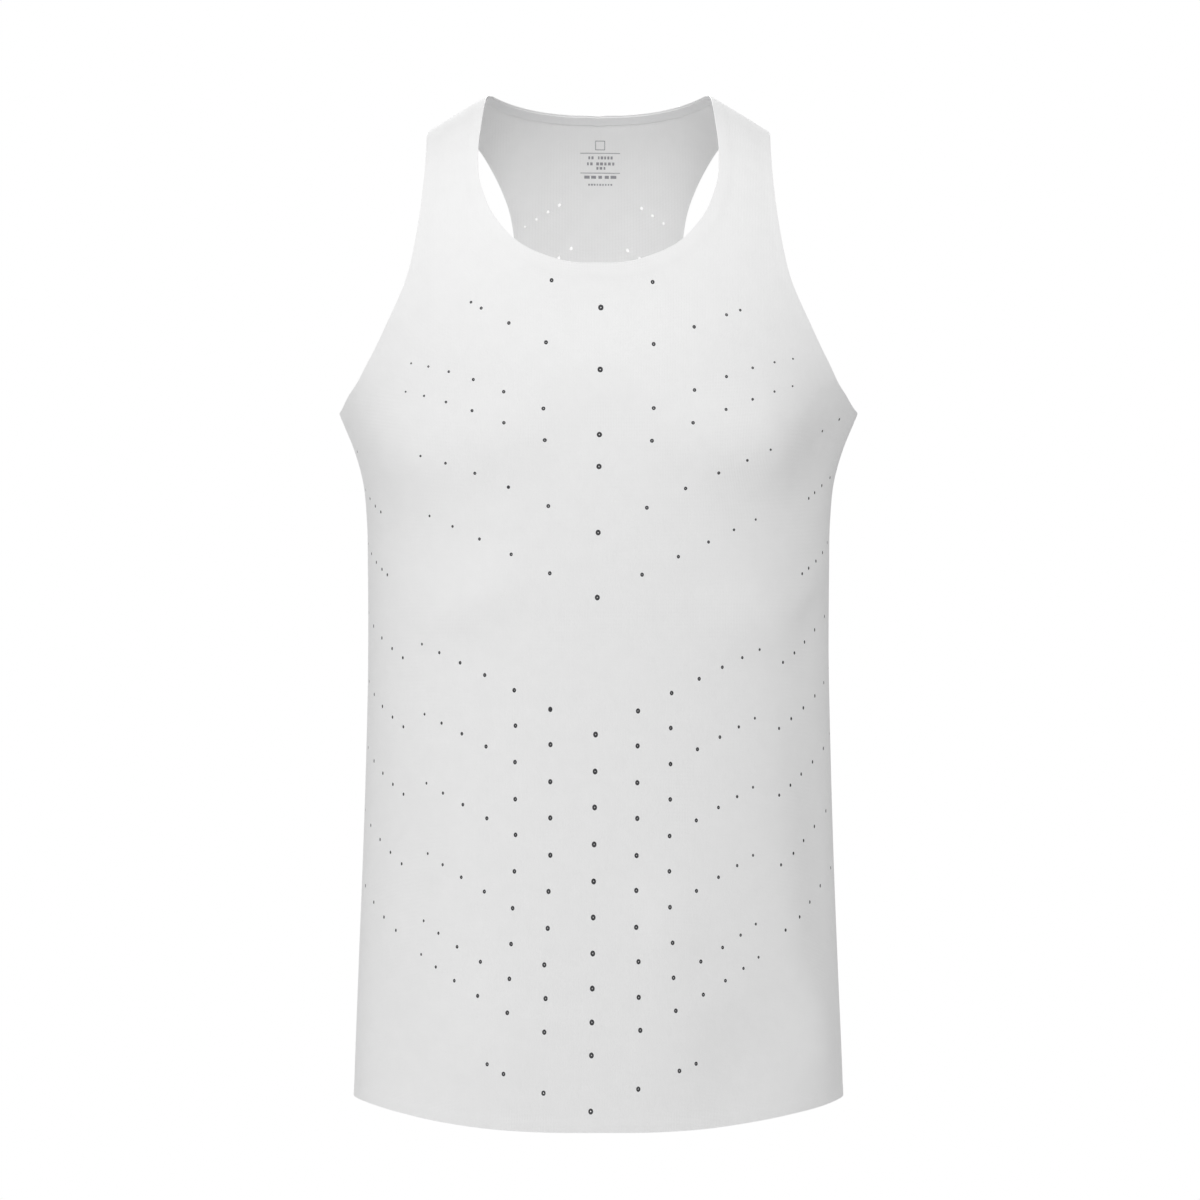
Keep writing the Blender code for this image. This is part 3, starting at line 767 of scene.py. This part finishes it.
class PieceTree:
    """A Geometry Nodes tree with named inputs that grows a piece on a carrier mesh."""

    def __init__(self, name: str, inputs: dict[str, float | int]) -> None:
        """Starts the tree.

        Args:
            name: The tree's name.
            inputs: Its named sizes, counts and seeds, with their values.
        """
        self.tree = bpy.data.node_groups.new(name, "GeometryNodeTree")
        face = self.tree.interface
        face.new_socket("Carrier", in_out="INPUT", socket_type="NodeSocketGeometry")
        self.values = {}
        for title, value in inputs.items():
            kind = "NodeSocketInt" if isinstance(value, int) else "NodeSocketFloat"
            self.values[face.new_socket(title, in_out="INPUT", socket_type=kind).identifier] = value
        finish = face.new_socket("Finish", in_out="INPUT", socket_type="NodeSocketMaterial")
        self.finish_input = finish.identifier
        face.new_socket("Piece", in_out="OUTPUT", socket_type="NodeSocketGeometry")
        self.given = add_node(self.tree, "NodeGroupInput").outputs

    def add(self, kind: str, inputs: dict | None = None, **settings) -> bpy.types.NodeOutputs:
        """Adds a node by the same rules as add_node, and gives its outputs."""
        return add_node(self.tree, kind, inputs, **settings).outputs

    def kept_vector(self, name: str) -> bpy.types.NodeSocket:
        """A vector attribute that the carrier keeps."""
        return self.add("GeometryNodeInputNamedAttribute", {"Name": name}, data_type="FLOAT_VECTOR")[0]

    def grow(
        self, shape: bpy.types.NodeSocket, carrier: bpy.types.Mesh, finish: bpy.types.Material
    ) -> bpy.types.Mesh:
        """Ends the tree and turns what it grows into a plain mesh.

        Args:
            shape: The socket that gives the grown shape.
            carrier: The mesh that it grows on.
            finish: Its material.

        Returns:
            The grown mesh.
        """
        real = self.add("GeometryNodeRealizeInstances", {"Geometry": shape})[0]
        dressed = self.add("GeometryNodeSetMaterial", {"Geometry": real, "Material": self.given["Finish"]})[0]
        self.add("NodeGroupOutput", {"Piece": dressed})
        holder = linked("carrier", carrier)
        grower = holder.modifiers.new("grower", "NODES")
        grower.node_group = self.tree
        for identifier, value in self.values.items():
            grower[identifier] = value
        grower[self.finish_input] = finish
        grown = holder.evaluated_get(bpy.context.evaluated_depsgraph_get())
        mesh = bpy.data.meshes.new_from_object(grown)
        holder.modifiers.remove(grower)
        bpy.data.objects.remove(holder)
        return mesh


@dataclass
class VentField:
    """The laser-cut holes of both panels."""

    largest: float = 0.0037
    smallest: float = 0.0021
    fade: float = 0.885
    full_rise_at: int = 5
    centre_lean: float = 0.0128
    lean_from: float = -0.0800
    tallest: float = 1.25
    tall_from: float = -0.20
    round_from: float = -0.02

    def front_rows(self) -> list[tuple[float, float, float, float]]:
        """(across, up, diameter, clean) of every hole in the front's own chevrons."""
        holes = []
        for row in FRONT_VENTS:
            centre = self.centre_lean * (row.up - self.lean_from)
            holes.append((centre, row.up, self.largest, 0.0))
            for hand, arm in ((-1, row.left), (1, row.right)):
                across, up = centre, row.up
                for i in range(arm.holes):
                    step = arm.first_step / (1 + arm.fade * i)
                    if arm.last_step and i == arm.holes - 1:
                        step = arm.last_step
                    turned = i / self.full_rise_at
                    rise = math.radians(arm.rise_inner * (1 - turned) + arm.rise_outer * turned)
                    across += hand * step * math.cos(rise)
                    up += step * math.sin(rise)
                    holes.append((across, up, row.arm_size * self.fade**i, 0.0))
        return holes

    def back_places(self) -> list[tuple[int, float, float, float, float]]:
        """(hand, across, up, diameter, clean) of the back's holes, measured on from its centre line."""
        places = []
        for row in BACK_VENTS:
            places.append((1, 0.0, row.up, self.largest, 0.0))
            steps = 1 + row.growth * np.arange(row.holes)[::-1]
            shares = np.cumsum(steps) / steps.sum()
            for hand, run, fall in ((-1, row.left_run, row.left_fall), (1, row.right_run, row.right_fall)):
                lean = math.radians(fall)
                for share in shares:
                    across, drop = run * share * math.cos(lean), run * share * math.sin(lean)
                    diameter = self.largest + (self.smallest - self.largest) * share
                    places.append((hand, across, row.up - drop, diameter, 0.0))
        for arm in SHORT_ARMS:
            lean = math.radians(arm.fall)
            for i in range(arm.holes):
                across, drop = arm.step * i * math.cos(lean), arm.step * i * math.sin(lean)
                diameter = arm.diameter * self.fade**i
                places.append((arm.hand, arm.across + across, arm.up - drop, diameter, float(arm.clean)))
        return places

    def back_rows(self) -> list[tuple[Side, float, float, float, float]]:
        """(side, across, up, diameter, clean) of the back's holes, past the sides onto the front."""
        holes = []
        for hand, across, up, diameter, clean in self.back_places():
            limit = FIGURE.side_run(Side.BACK, up)
            side = Side.BACK if across <= limit else Side.FRONT
            if side is Side.FRONT:
                across = FIGURE.side_run(Side.FRONT, up) - across + limit
            holes.append((side, hand * across, up, diameter, clean))
        return holes

    def on(self, side: Side) -> np.ndarray:
        """Rows (across, up, width, height, clean) of every hole on one panel."""
        holes = [hole[1:] for hole in self.back_rows() if hole[0] is side]
        if side is Side.FRONT:
            holes += self.front_rows()
        across, up, diameter, clean = np.array(holes).T
        tall = np.interp(up, [self.tall_from, self.round_from], [self.tallest, 1.0])
        return np.column_stack([across, up, diameter / np.sqrt(tall), diameter * np.sqrt(tall), clean])


@dataclass
class PanelCut:
    """The flat cut of one panel, and the sheet of faces that fills it."""

    side: Side
    hem_at_side: float = -0.6890
    corner_round: float = 0.0012
    edge_step: float = 0.0030
    cloth_step: float = 0.0040
    neck_band: float = 0.0085
    hem_band: float = 0.0070
    arm_band: float = 0.0035
    band_slope: float = 0.0008
    band_relief: float = 0.00014
    seam_groove: float = 0.0004
    edge_margin: float = 0.0080
    vent_sides: int = 14
    edge_clear: float = 0.5
    vent_clear: float = 0.8
    merge_within: float = 1e-7

    def __post_init__(self) -> None:
        """Works out the named edges of the right half."""
        neck = self.edge_line(NECK_EDGES[self.side])
        armhole = self.edge_line(ARMHOLE_EDGES[self.side])
        sides = self.side_line()
        armhole[-1] = sides[0]
        across = np.linspace(sides[-1, 0], 0.0, math.ceil(sides[-1, 0] / self.edge_step) + 1)
        hem = np.column_stack([across, self.hem_up(across)])
        underarm = rounded(armhole[-3], sides[0], sides[2], self.corner_round)
        corner = rounded(sides[-3], hem[0], hem[2], self.corner_round)
        shoulder = resampled(np.array([neck[-1], armhole[0]]), self.edge_step)
        self.edges = {
            "neck": neck,
            "shoulder": shoulder[1:-1],
            "armhole": np.vstack([armhole[:-2], underarm[:BEND_HALF]]),
            "side": np.vstack([underarm[BEND_HALF:], sides[2:-2], corner[:BEND_HALF]]),
            "hem": np.vstack([corner[BEND_HALF:], hem[2:]]),
        }

    def edge_line(self, rows: tuple[Edge, ...]) -> np.ndarray:
        """Flat line of an edge that is given square from the front."""
        line = np.array([FIGURE.flat_place(self.side, row) for row in rows])
        line[:, 1] = np.minimum(line[:, 1], FIGURE.ridge_run)
        return resampled(line, self.edge_step)

    def hem_up(self, across: np.ndarray) -> np.ndarray:
        """Run up the cloth of the hem, which drops towards the centre."""
        at_side = self.hem_at_side - FIGURE.chest_line
        shares, drops = np.array(HEM_DROPS).T
        return at_side - smooth(np.abs(across) / FIGURE.side_run(self.side, at_side), shares, drops)

    def side_line(self) -> np.ndarray:
        """Flat line of the side, from the underarm down to the hem."""
        ends = np.array([[0.0, UNDERARM.height], [0.0, self.hem_at_side]]) - FIGURE.chest_line
        ups = resampled(ends, self.edge_step)[:, 1]
        return np.array([[FIGURE.side_run(self.side, up), up] for up in ups])

    @property
    def outline(self) -> np.ndarray:
        """Closed flat outline of the whole panel."""
        right = np.vstack(list(self.edges.values()))
        return np.vstack([right, mirrored(right)[1:-1]])

    @property
    def size(self) -> tuple[float, float]:
        """Width and length of the whole flat cut."""
        span = np.ptp(self.outline, axis=0)
        return float(span[0]), float(span[1])

    @property
    def area(self) -> float:
        """Area of the whole flat cut."""
        across, up = self.outline.T
        return float(abs(across @ np.roll(up, -1) - up @ np.roll(across, -1)) / 2)

    def moved_in(self, line: np.ndarray, inwards: float) -> np.ndarray:
        """A right-hand edge moved into the cloth, square to itself."""
        ahead = np.gradient(line, axis=0)
        ahead /= np.linalg.norm(ahead, axis=1)[:, None]
        moved = line + np.column_stack([ahead[:, 1], -ahead[:, 0]]) * inwards
        moved[:, 1] = np.minimum(moved[:, 1], FIGURE.ridge_run)
        return moved

    def neck_line(self, inwards: float) -> np.ndarray:
        """The neckline over both halves, moved into the cloth, level with the ridge at its ends."""
        neck = self.edges["neck"]
        line = self.moved_in(neck, inwards)
        line[0] = neck[0] - [0, inwards]
        line[-1] = neck[-1] + [inwards, 0]
        return both_halves(line)

    def whole(self, name: str) -> list[np.ndarray]:
        """A named edge on both halves: one line where it crosses the centre, else two."""
        line = self.edges[name]
        if name == "neck":
            return [both_halves(line)]
        if name == "hem":
            return [np.vstack([line, mirrored(line)[1:]])]
        return [line, mirrored(line)]

    @property
    def bands(self) -> tuple[tuple[str, float], ...]:
        """The edges that carry a bonded band, and its width on each."""
        return ("neck", self.neck_band), ("hem", self.hem_band), ("armhole", self.arm_band)

    def from_edge(self, name: str, flat: np.ndarray) -> np.ndarray:
        """Distance of flat places from a named edge."""
        return nearest(flat, np.vstack([resampled(line, self.edge_step / 3) for line in self.whole(name)]))

    def relief(self, flat: np.ndarray) -> np.ndarray:
        """Height of the bonded bands and the depth of the seams, at flat places."""
        height = np.zeros(len(flat))
        for name, band in self.bands:
            step = eased((band + self.band_slope / 2 - self.from_edge(name, flat)) / self.band_slope)
            height = np.maximum(height, self.band_relief * step)
        for name in ("side", "shoulder"):
            height -= self.seam_groove * eased(1 - self.from_edge(name, flat) / (2 * self.band_slope))
        return height

    def guides(self) -> np.ndarray:
        """Flat places that hold the bands' and seams' slopes."""
        rows = []
        for name, band in self.bands:
            for inwards in (band - self.band_slope / 2, band + self.band_slope / 2):
                if name == "neck":
                    rows.append(self.neck_line(inwards))
                else:
                    moved = self.moved_in(self.edges[name], inwards)
                    rows += [moved, mirrored(moved)]
        for name in ("side", "shoulder"):
            moved = self.moved_in(self.edges[name], 2 * self.band_slope)
            rows += [moved, mirrored(moved)]
        return np.vstack(rows)

    def vents(self, field_of_holes: VentField) -> np.ndarray:
        """The panel's holes that lie clear of its edges."""
        holes = field_of_holes.on(self.side)
        kept = inside(holes[:, :2], self.outline)
        kept &= nearest(holes[:, :2], self.outline) > self.edge_margin
        return holes[kept]

    def vent_ring(self, across: float, up: float, width: float, height: float) -> np.ndarray:
        """Flat places round one hole."""
        turns = np.arange(self.vent_sides) * 2 * math.pi / self.vent_sides
        return np.column_stack([across + width / 2 * np.cos(turns), up + height / 2 * np.sin(turns)])

    def seeds(self, fixed: np.ndarray, vents: np.ndarray) -> np.ndarray:
        """Staggered places inside the outline, clear of the fixed places and of the holes."""
        low, high = self.outline.min(axis=0), self.outline.max(axis=0)
        rise = self.cloth_step * math.sqrt(3) / 2
        rows = np.arange(math.ceil((high[1] - low[1]) / rise))
        steps = np.arange(math.ceil((high[0] - low[0]) / self.cloth_step))
        across = low[0] + self.cloth_step * (steps[None, :] + (rows[:, None] % 2) / 2)
        up = np.broadcast_to(low[1] + rise * rows[:, None], across.shape)
        seeds = np.column_stack([across.ravel(), up.ravel()])
        seeds = seeds[inside(seeds, self.outline)]
        rings = np.vstack([self.vent_ring(*vent[:4]) for vent in vents])
        clear = nearest(seeds, np.vstack([self.outline, fixed, rings])) > self.cloth_step * self.edge_clear
        clear &= nearest(seeds, vents[:, :2]) > self.cloth_step * self.vent_clear
        return seeds[clear]

    def sheet(self, vents: np.ndarray) -> tuple[np.ndarray, np.ndarray]:
        """Fills the cut with small faces, open at every hole.

        Args:
            vents: Rows (across, up, width, height, clean).

        Returns:
            Flat places and the faces between them.
        """
        outline = self.outline
        count, sides = len(outline), self.vent_sides
        guides = self.guides()
        guides = guides[inside(guides, outline)]
        guides = guides[nearest(guides, outline) > self.band_slope / 2]
        rings = [self.vent_ring(*vent[:4]) for vent in vents]
        places = np.vstack([outline, *rings, guides, self.seeds(guides, vents)])
        edges = [(i, (i + 1) % count) for i in range(count)]
        for k in range(len(rings)):
            start = count + k * sides
            edges += [(start + i, start + (i + 1) % sides) for i in range(sides)]
        found = delaunay_2d_cdt([Vector(place) for place in places], edges, [], 0, self.merge_within)
        flat, faces = np.array(found[0]), np.array(found[2])
        middles = flat[faces].mean(axis=1)
        kept = inside(middles, outline)
        reach = math.cos(math.pi / sides)
        for across, up, width, height, _ in vents:
            ahead, above = (middles[:, 0] - across) / width, (middles[:, 1] - up) / height
            kept &= 2 * np.hypot(ahead, above) > reach
        return flat, faces[kept]


@dataclass
class Panel:
    """One panel of cloth, laid on the figure, with real holes and a thin wall."""

    name: str
    node: str
    cut: PanelCut

    def build(self, vents: np.ndarray, cloth: bpy.types.Material) -> bpy.types.Object:
        """Builds the panel in place of its solid.

        Args:
            vents: Rows (across, up, width, height, clean) of its holes.
            cloth: Its finish.

        Returns:
            The panel.
        """
        flat, faces = self.cut.sheet(vents)
        if self.cut.side is Side.BACK:
            faces = faces[:, ::-1]
        lift = self.cut.relief(flat)
        outer = FIGURE.laid(self.cut.side, flat, lift)
        inner = FIGURE.laid(self.cut.side, flat, lift - CLOTH_WALL)
        places, walls = thickened(outer, inner, faces)
        mesh = mesh_of(self.name, places, walls)
        uv = mesh.uv_layers.new(name="cut")
        corners = np.empty(len(mesh.loops), np.int32)
        mesh.loops.foreach_get("vertex_index", corners)
        uv.data.foreach_set("uv", flat[corners % len(flat)].astype(np.float32).ravel())
        panel = new_piece(self.name, mesh, cloth)
        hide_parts(self.node)
        return panel


@dataclass
class NeckBinding:
    """The tape bonded inside the neckline, one closed ring over both panels."""

    width: float = 0.0062
    set_in: float = 0.0006
    tape_wall: float = 0.00045
    bevel: float = 0.0004

    def build(self, cuts: dict[Side, PanelCut], tape: bpy.types.Material) -> bpy.types.Object:
        """Builds the ring in place of its solid.

        Args:
            cuts: The two panels' cuts.
            tape: Its finish.

        Returns:
            The binding.
        """
        section = (
            (self.set_in, 0.0),
            (self.set_in + self.bevel, self.tape_wall),
            (self.set_in + self.width - self.bevel, self.tape_wall),
            (self.set_in + self.width, 0.0),
        )
        rings = []
        for inwards, height in section:
            halves = []
            for side, cut in cuts.items():
                line = cut.neck_line(inwards)
                lift = cut.relief(line) - CLOTH_WALL - height
                halves.append(FIGURE.laid(side, line, lift))
            rings.append(np.vstack([halves[0], halves[1][::-1][1:-1]]))
        count, around = len(rings), len(rings[0])
        faces = []
        for k in range(count):
            for i in range(around):
                ahead, here, beside = (i + 1) % around, k * around, (k + 1) % count * around
                faces.append((here + i, here + ahead, beside + ahead, beside + i))
        mesh = mesh_of("neck_binding", np.vstack(rings), faces)
        shape = bmesh.new()
        shape.from_mesh(mesh)
        bmesh.ops.recalc_face_normals(shape, faces=shape.faces)
        shape.to_mesh(mesh)
        shape.free()
        binding = new_piece("neck_binding", mesh, tape)
        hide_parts("neck_tape")
        return binding


@dataclass
class EdgeBead:
    """The fused bead along every cut edge that stays open: neck, armholes and hem."""

    radius: float = 0.00036
    sides: int = 8

    def loops(self, cuts: dict[Side, PanelCut]) -> list[np.ndarray]:
        """Closed lines of places along the middle of the wall at each open edge."""
        laid = {}
        for side, cut in cuts.items():
            for name in ("neck", "armhole", "hem"):
                for hand, line in enumerate(cut.whole(name)):
                    lift = cut.relief(line) - CLOTH_WALL / 2
                    laid[side, name, hand] = FIGURE.laid(side, line, lift)
        loops = []
        for name, hand in (("neck", 0), ("armhole", 0), ("armhole", 1), ("hem", 0)):
            loops.append(np.vstack([laid[Side.FRONT, name, hand], laid[Side.BACK, name, hand][::-1][1:-1]]))
        return loops

    def build(self, cuts: dict[Side, PanelCut], finish: bpy.types.Material) -> bpy.types.Object:
        """Builds the bead.

        Args:
            cuts: The two panels' cuts.
            finish: Its finish.

        Returns:
            The bead.
        """
        loops = self.loops(cuts)
        edges = []
        start = 0
        for loop in loops:
            edges += [(start + i, start + (i + 1) % len(loop)) for i in range(len(loop))]
            start += len(loop)
        tree = PieceTree("bead along edges", {"Radius": self.radius, "Sides": self.sides})
        line = tree.add("GeometryNodeMeshToCurve", {"Mesh": tree.given["Carrier"]})[0]
        ring = tree.add(
            "GeometryNodeCurvePrimitiveCircle",
            {"Resolution": tree.given["Sides"], "Radius": tree.given["Radius"]},
        )[0]
        bead = tree.add("GeometryNodeCurveToMesh", {"Curve": line, "Profile Curve": ring})[0]
        mesh = tree.grow(bead, mesh_of("edge lines", np.vstack(loops), [], edges), finish)
        return new_piece("edge_bead", mesh, finish)


@dataclass
class VentRims:
    """Rims set in the holes: by default charcoal, painted as the shade in each hole's wall and the hollow
    behind; a second set is pale, in the holes flagged for it.
    """

    name: str = "vent_rims"
    # Which holes this set fills, by their flag; False gives the charcoal rims painted as shade.
    clean: bool = False
    opening: float = 0.22
    depth: float = 0.0004
    overlap: float = 1.05
    sides: int = 12

    def build(self, vents: dict[Side, np.ndarray], finish: bpy.types.Material) -> bpy.types.Object:
        """Builds all rims as one piece.

        Args:
            vents: Rows (across, up, width, height, clean) of each panel's holes.
            finish: Their finish.

        Returns:
            The rims.
        """
        places, outs, ups, sizes = [], [], [], []
        for side, holes in vents.items():
            holes = holes[holes[:, 4] == self.clean]
            if len(holes) == 0:
                continue
            out, up = FIGURE.ways(side, holes[:, :2])
            places.append(FIGURE.laid(side, holes[:, :2], -CLOTH_WALL / 2))
            outs.append(out)
            ups.append(up)
            sizes.append(np.column_stack([holes[:, 2:4] / 2 * self.overlap, np.full(len(holes), self.depth)]))
        carrier = mesh_of("vent places", np.vstack(places), [])
        for name, rows in (("out", outs), ("up", ups), ("size", sizes)):
            keep_vectors(carrier, name, np.vstack(rows))
        tree = PieceTree("rims in vents", {"Opening": self.opening, "Sides": self.sides})
        middle = maths(tree.tree, "MULTIPLY", maths(tree.tree, "ADD", tree.given["Opening"], 1.0), 0.5)
        width = maths(tree.tree, "SUBTRACT", 1.0, tree.given["Opening"])
        round_line = tree.add(
            "GeometryNodeCurvePrimitiveCircle", {"Resolution": tree.given["Sides"], "Radius": middle}
        )[0]
        section = tree.add("GeometryNodeCurvePrimitiveQuadrilateral", {"Width": width, "Height": 1.0})[0]
        washer = tree.add("GeometryNodeCurveToMesh", {"Curve": round_line, "Profile Curve": section})[0]
        turned = tree.add(
            "FunctionNodeAxesToRotation",
            {"Primary Axis": tree.kept_vector("out"), "Secondary Axis": tree.kept_vector("up")},
            primary_axis="Z",
            secondary_axis="Y",
        )[0]
        rims = tree.add(
            "GeometryNodeInstanceOnPoints",
            {
                "Points": tree.given["Carrier"],
                "Instance": washer,
                "Rotation": turned,
                "Scale": tree.kept_vector("size"),
            },
        )[0]
        return new_piece(self.name, tree.grow(rims, carrier, finish), finish)


class PrintRow(NamedTuple):
    """A row of plain dashes, by its place on the back panel's flat cut."""

    up: float
    left: float
    right: float
    dash: float
    height: float


@dataclass
class CarePrint:
    """A plain mark inside the back neck: an empty box, two hairlines and rows of dashes."""

    middle: float = 0.0012
    box_up: float = 0.1641
    box_width: float = 0.0066
    box_height: float = 0.0060
    rule_width: float = 0.0288
    rule_ups: tuple[float, float] = (0.1588, 0.1456)
    hairline: float = 0.00042
    gap: float = 0.0006
    ink_wall: float = 0.00005
    clear: float = 0.00006
    bow: float = 3.1
    shortest: float = 0.55
    seed: int = 7
    bar_places: int = 13
    rows: tuple[PrintRow, ...] = (
        PrintRow(0.1557, -0.0091, -0.0044, 0.0019, 0.0019),
        PrintRow(0.1557, -0.0022, 0.0094, 0.0019, 0.0019),
        PrintRow(0.1517, -0.0102, -0.0051, 0.0021, 0.0019),
        PrintRow(0.1517, -0.0033, 0.0109, 0.0021, 0.0019),
        PrintRow(0.1488, -0.0033, 0.0044, 0.0017, 0.0017),
        PrintRow(0.1429, -0.0120, 0.0120, 0.0040, 0.0019),
        PrintRow(0.1380, -0.0091, 0.0091, 0.0014, 0.0011),
    )

    def bars(self) -> np.ndarray:
        """Rows (across, up, length, height, varied) of every bar of the mark."""
        half_width, half_height, line = self.box_width / 2, self.box_height / 2, self.hairline
        bars = [(self.middle, up, self.rule_width, line, 0.0) for up in self.rule_ups]
        for hand in (-1, 1):
            bars.append((self.middle, self.box_up + hand * half_height, self.box_width + line, line, 0.0))
            bars.append((self.middle + hand * half_width, self.box_up, line, self.box_height - line, 0.0))
        for row in self.rows:
            count = max(1, round((row.right - row.left) / (row.dash + self.gap)))
            pitch = (row.right - row.left) / count
            for i in range(count):
                across = self.middle + row.left + pitch * (i + 0.5)
                bars.append((across, row.up, pitch - self.gap, row.height, 1.0))
        return np.array(bars)

    def build(self, ink: bpy.types.Material) -> bpy.types.Object:
        """Builds the mark flat, then lays it on the inside of the back.

        Args:
            ink: Its finish.

        Returns:
            The mark.
        """
        bars = self.bars()
        carrier = mesh_of("bar places", np.column_stack([bars[:, :2], np.zeros(len(bars))]), [])
        keep_vectors(carrier, "size", np.column_stack([bars[:, 2:4], np.full(len(bars), self.ink_wall)]))
        keep_vectors(carrier, "varied", np.repeat(bars[:, 4:], 3, axis=1))
        tree = PieceTree("bars of the print", {"Shortest": self.shortest, "Seed": self.seed})
        drawn = tree.add(
            "FunctionNodeRandomValue", {2: tree.given["Shortest"], 3: 1.0, "Seed": tree.given["Seed"]}
        )[1]
        share = tree.add(
            "ShaderNodeMix", {0: tree.kept_vector("varied"), 2: 1.0, 3: drawn}, data_type="FLOAT"
        )[0]
        stretch = tree.add("ShaderNodeCombineXYZ", {"X": share, "Y": 1.0, "Z": 1.0})[0]
        size = tree.add(
            "ShaderNodeVectorMath", {0: tree.kept_vector("size"), 1: stretch}, operation="MULTIPLY"
        )[0]
        bar = tree.add(
            "GeometryNodeMeshCube", {"Size": (1.0, 1.0, 1.0), "Vertices X": self.bar_places}
        )[0]
        marks = tree.add(
            "GeometryNodeInstanceOnPoints", {"Points": tree.given["Carrier"], "Instance": bar, "Scale": size}
        )[0]
        mesh = tree.grow(marks, carrier, ink)
        flat = np.empty(3 * len(mesh.vertices), np.float32)
        mesh.vertices.foreach_get("co", flat)
        flat = flat.reshape(-1, 3).astype(float)
        flat[:, 1] += self.bow * (flat[:, 0] - self.middle) ** 2
        places = FIGURE.laid(Side.BACK, flat[:, :2], -CLOTH_WALL - self.clear - flat[:, 2])
        mesh.vertices.foreach_set("co", places.astype(np.float32).ravel())
        mesh.update()
        return new_piece("care_print", mesh, ink)


@dataclass
class Studio:
    """Pale floor, soft lights and the camera."""

    camera_distance: float = 3.0
    metres_per_pixel: float = 0.705e-3
    axis_column: float = 598.5
    origin_row: float = 115.5
    aim: tuple[float, float, float] = (0.0, 0.0, -0.30)
    ambient: float = 0.465
    floor_drop: float = 0.50
    floor_radius: float = 2.9
    floor_sides: int = 96
    floor_colour: str = "F4F4F4"
    floor_roughness: float = 0.9
    fade_from: float = 0.9
    sensor: float = 36.0

    def camera(self) -> None:
        """Level camera, square to the front."""
        data = bpy.data.cameras.new("camera")
        data.sensor_width = self.sensor
        data.lens = self.sensor * self.camera_distance / (PHOTO_PIXELS * self.metres_per_pixel)
        middle = PHOTO_PIXELS / 2
        camera = linked("camera", data)
        camera.location = (
            (middle - self.axis_column) * self.metres_per_pixel,
            -self.camera_distance,
            (self.origin_row - middle) * self.metres_per_pixel,
        )
        camera.rotation_euler = (math.pi / 2, 0.0, 0.0)
        bpy.context.scene.camera = camera

    def softbox(self, box: Softbox) -> None:
        """One soft light that faces the garment."""
        data = bpy.data.lights.new(box.name, "AREA")
        data.size = box.width
        data.energy = box.power
        light = linked(box.name, data)
        light.location = box.place
        light.rotation_euler = (Vector(self.aim) - Vector(box.place)).to_track_quat("-Z", "Y").to_euler()
        light.visible_camera = False

    def floor(self) -> None:
        """A pale round floor that fades into the white surroundings."""
        shape = bmesh.new()
        bmesh.ops.create_circle(shape, cap_ends=True, segments=self.floor_sides, radius=self.floor_radius)
        mesh = bpy.data.meshes.new("floor")
        shape.to_mesh(mesh)
        shape.free()
        floor = linked("floor", mesh)
        floor.location = (0.0, 0.0, CAD_BOX[0].z - self.floor_drop)
        material, shader = shader_material("pale studio floor")
        tree = material.node_tree
        place = add_node(tree, "ShaderNodeTexCoord")
        length = add_node(tree, "ShaderNodeVectorMath", {0: place.outputs["Object"]}, operation="LENGTH")
        fade = add_node(
            tree,
            "ShaderNodeMapRange",
            {"Value": length.outputs["Value"], "From Min": self.fade_from, "From Max": self.floor_radius},
            interpolation_type="SMOOTHSTEP",
        )
        shader.inputs["Base Color"].default_value = linear(self.floor_colour)
        shader.inputs["Roughness"].default_value = self.floor_roughness
        clear = add_node(tree, "ShaderNodeBsdfTransparent")
        mixed = add_node(
            tree,
            "ShaderNodeMixShader",
            {0: fade.outputs["Result"], 1: shader.outputs["BSDF"], 2: clear.outputs["BSDF"]},
        )
        tree.links.new(mixed.outputs[0], tree.nodes["Material Output"].inputs["Surface"])
        mesh.materials.append(material)

    def surroundings(self) -> None:
        """White to the eye, and a dim even light on everything else."""
        world = bpy.data.worlds.new("studio")
        bpy.context.scene.world = world
        world.use_nodes = True
        tree = world.node_tree
        seen = add_node(tree, "ShaderNodeLightPath")
        strength = add_node(
            tree,
            "ShaderNodeMapRange",
            {"Value": seen.outputs["Is Camera Ray"], "To Min": self.ambient, "To Max": 1.0},
        )
        background = tree.nodes["Background"]
        background.inputs["Color"].default_value = (1.0, 1.0, 1.0, 1.0)
        tree.links.new(strength.outputs["Result"], background.inputs["Strength"])

    def build(self) -> None:
        """Sets up the whole studio."""
        self.camera()
        self.floor()
        self.surroundings()
        for box in SOFTBOXES:
            self.softbox(box)
        bpy.context.scene.view_settings.view_transform = "Standard"


def main() -> None:
    """Builds every piece of the garment in order, then the studio."""
    logging.basicConfig(level=logging.INFO, format="%(message)s")
    holes = VentField()
    cuts = {side: PanelCut(side) for side in Side}
    vents = {side: cut.vents(holes) for side, cut in cuts.items()}
    cloth = KnitFinish("white polyester interlock").material()
    front = Panel("front_cloth", "front_panel", cuts[Side.FRONT]).build(vents[Side.FRONT], cloth)
    back = Panel("back_cloth", "back_panel", cuts[Side.BACK]).build(vents[Side.BACK], cloth)
    binding = NeckBinding().build(cuts, TAPE_FINISH.material())
    fused = BEAD_FINISH.material()
    bead = EdgeBead().build(cuts, fused)
    # Charcoal rims painted as the shade in the holes; pale rims of the bead's finish in the holes flagged for
    # them.
    rims = VentRims().build(vents, RIM_SHADE_FINISH.material())
    pale_rims = VentRims("pale_vent_rims", True, 0.80).build(vents, fused)
    mark = CarePrint().build(INK_FINISH.material())
    for piece in (front, back, binding, bead, rims, pale_rims, mark):
        LOG.info("%s: %d faces", piece.name, len(piece.data.polygons))
    for panel, side, trims in (
        (front, Side.FRONT, [bead, rims]),
        (back, Side.BACK, [binding, pale_rims, mark]),
    ):
        cuts[side].size
        cuts[side].area
    Studio().build()


if __name__ == "__main__":
    main()
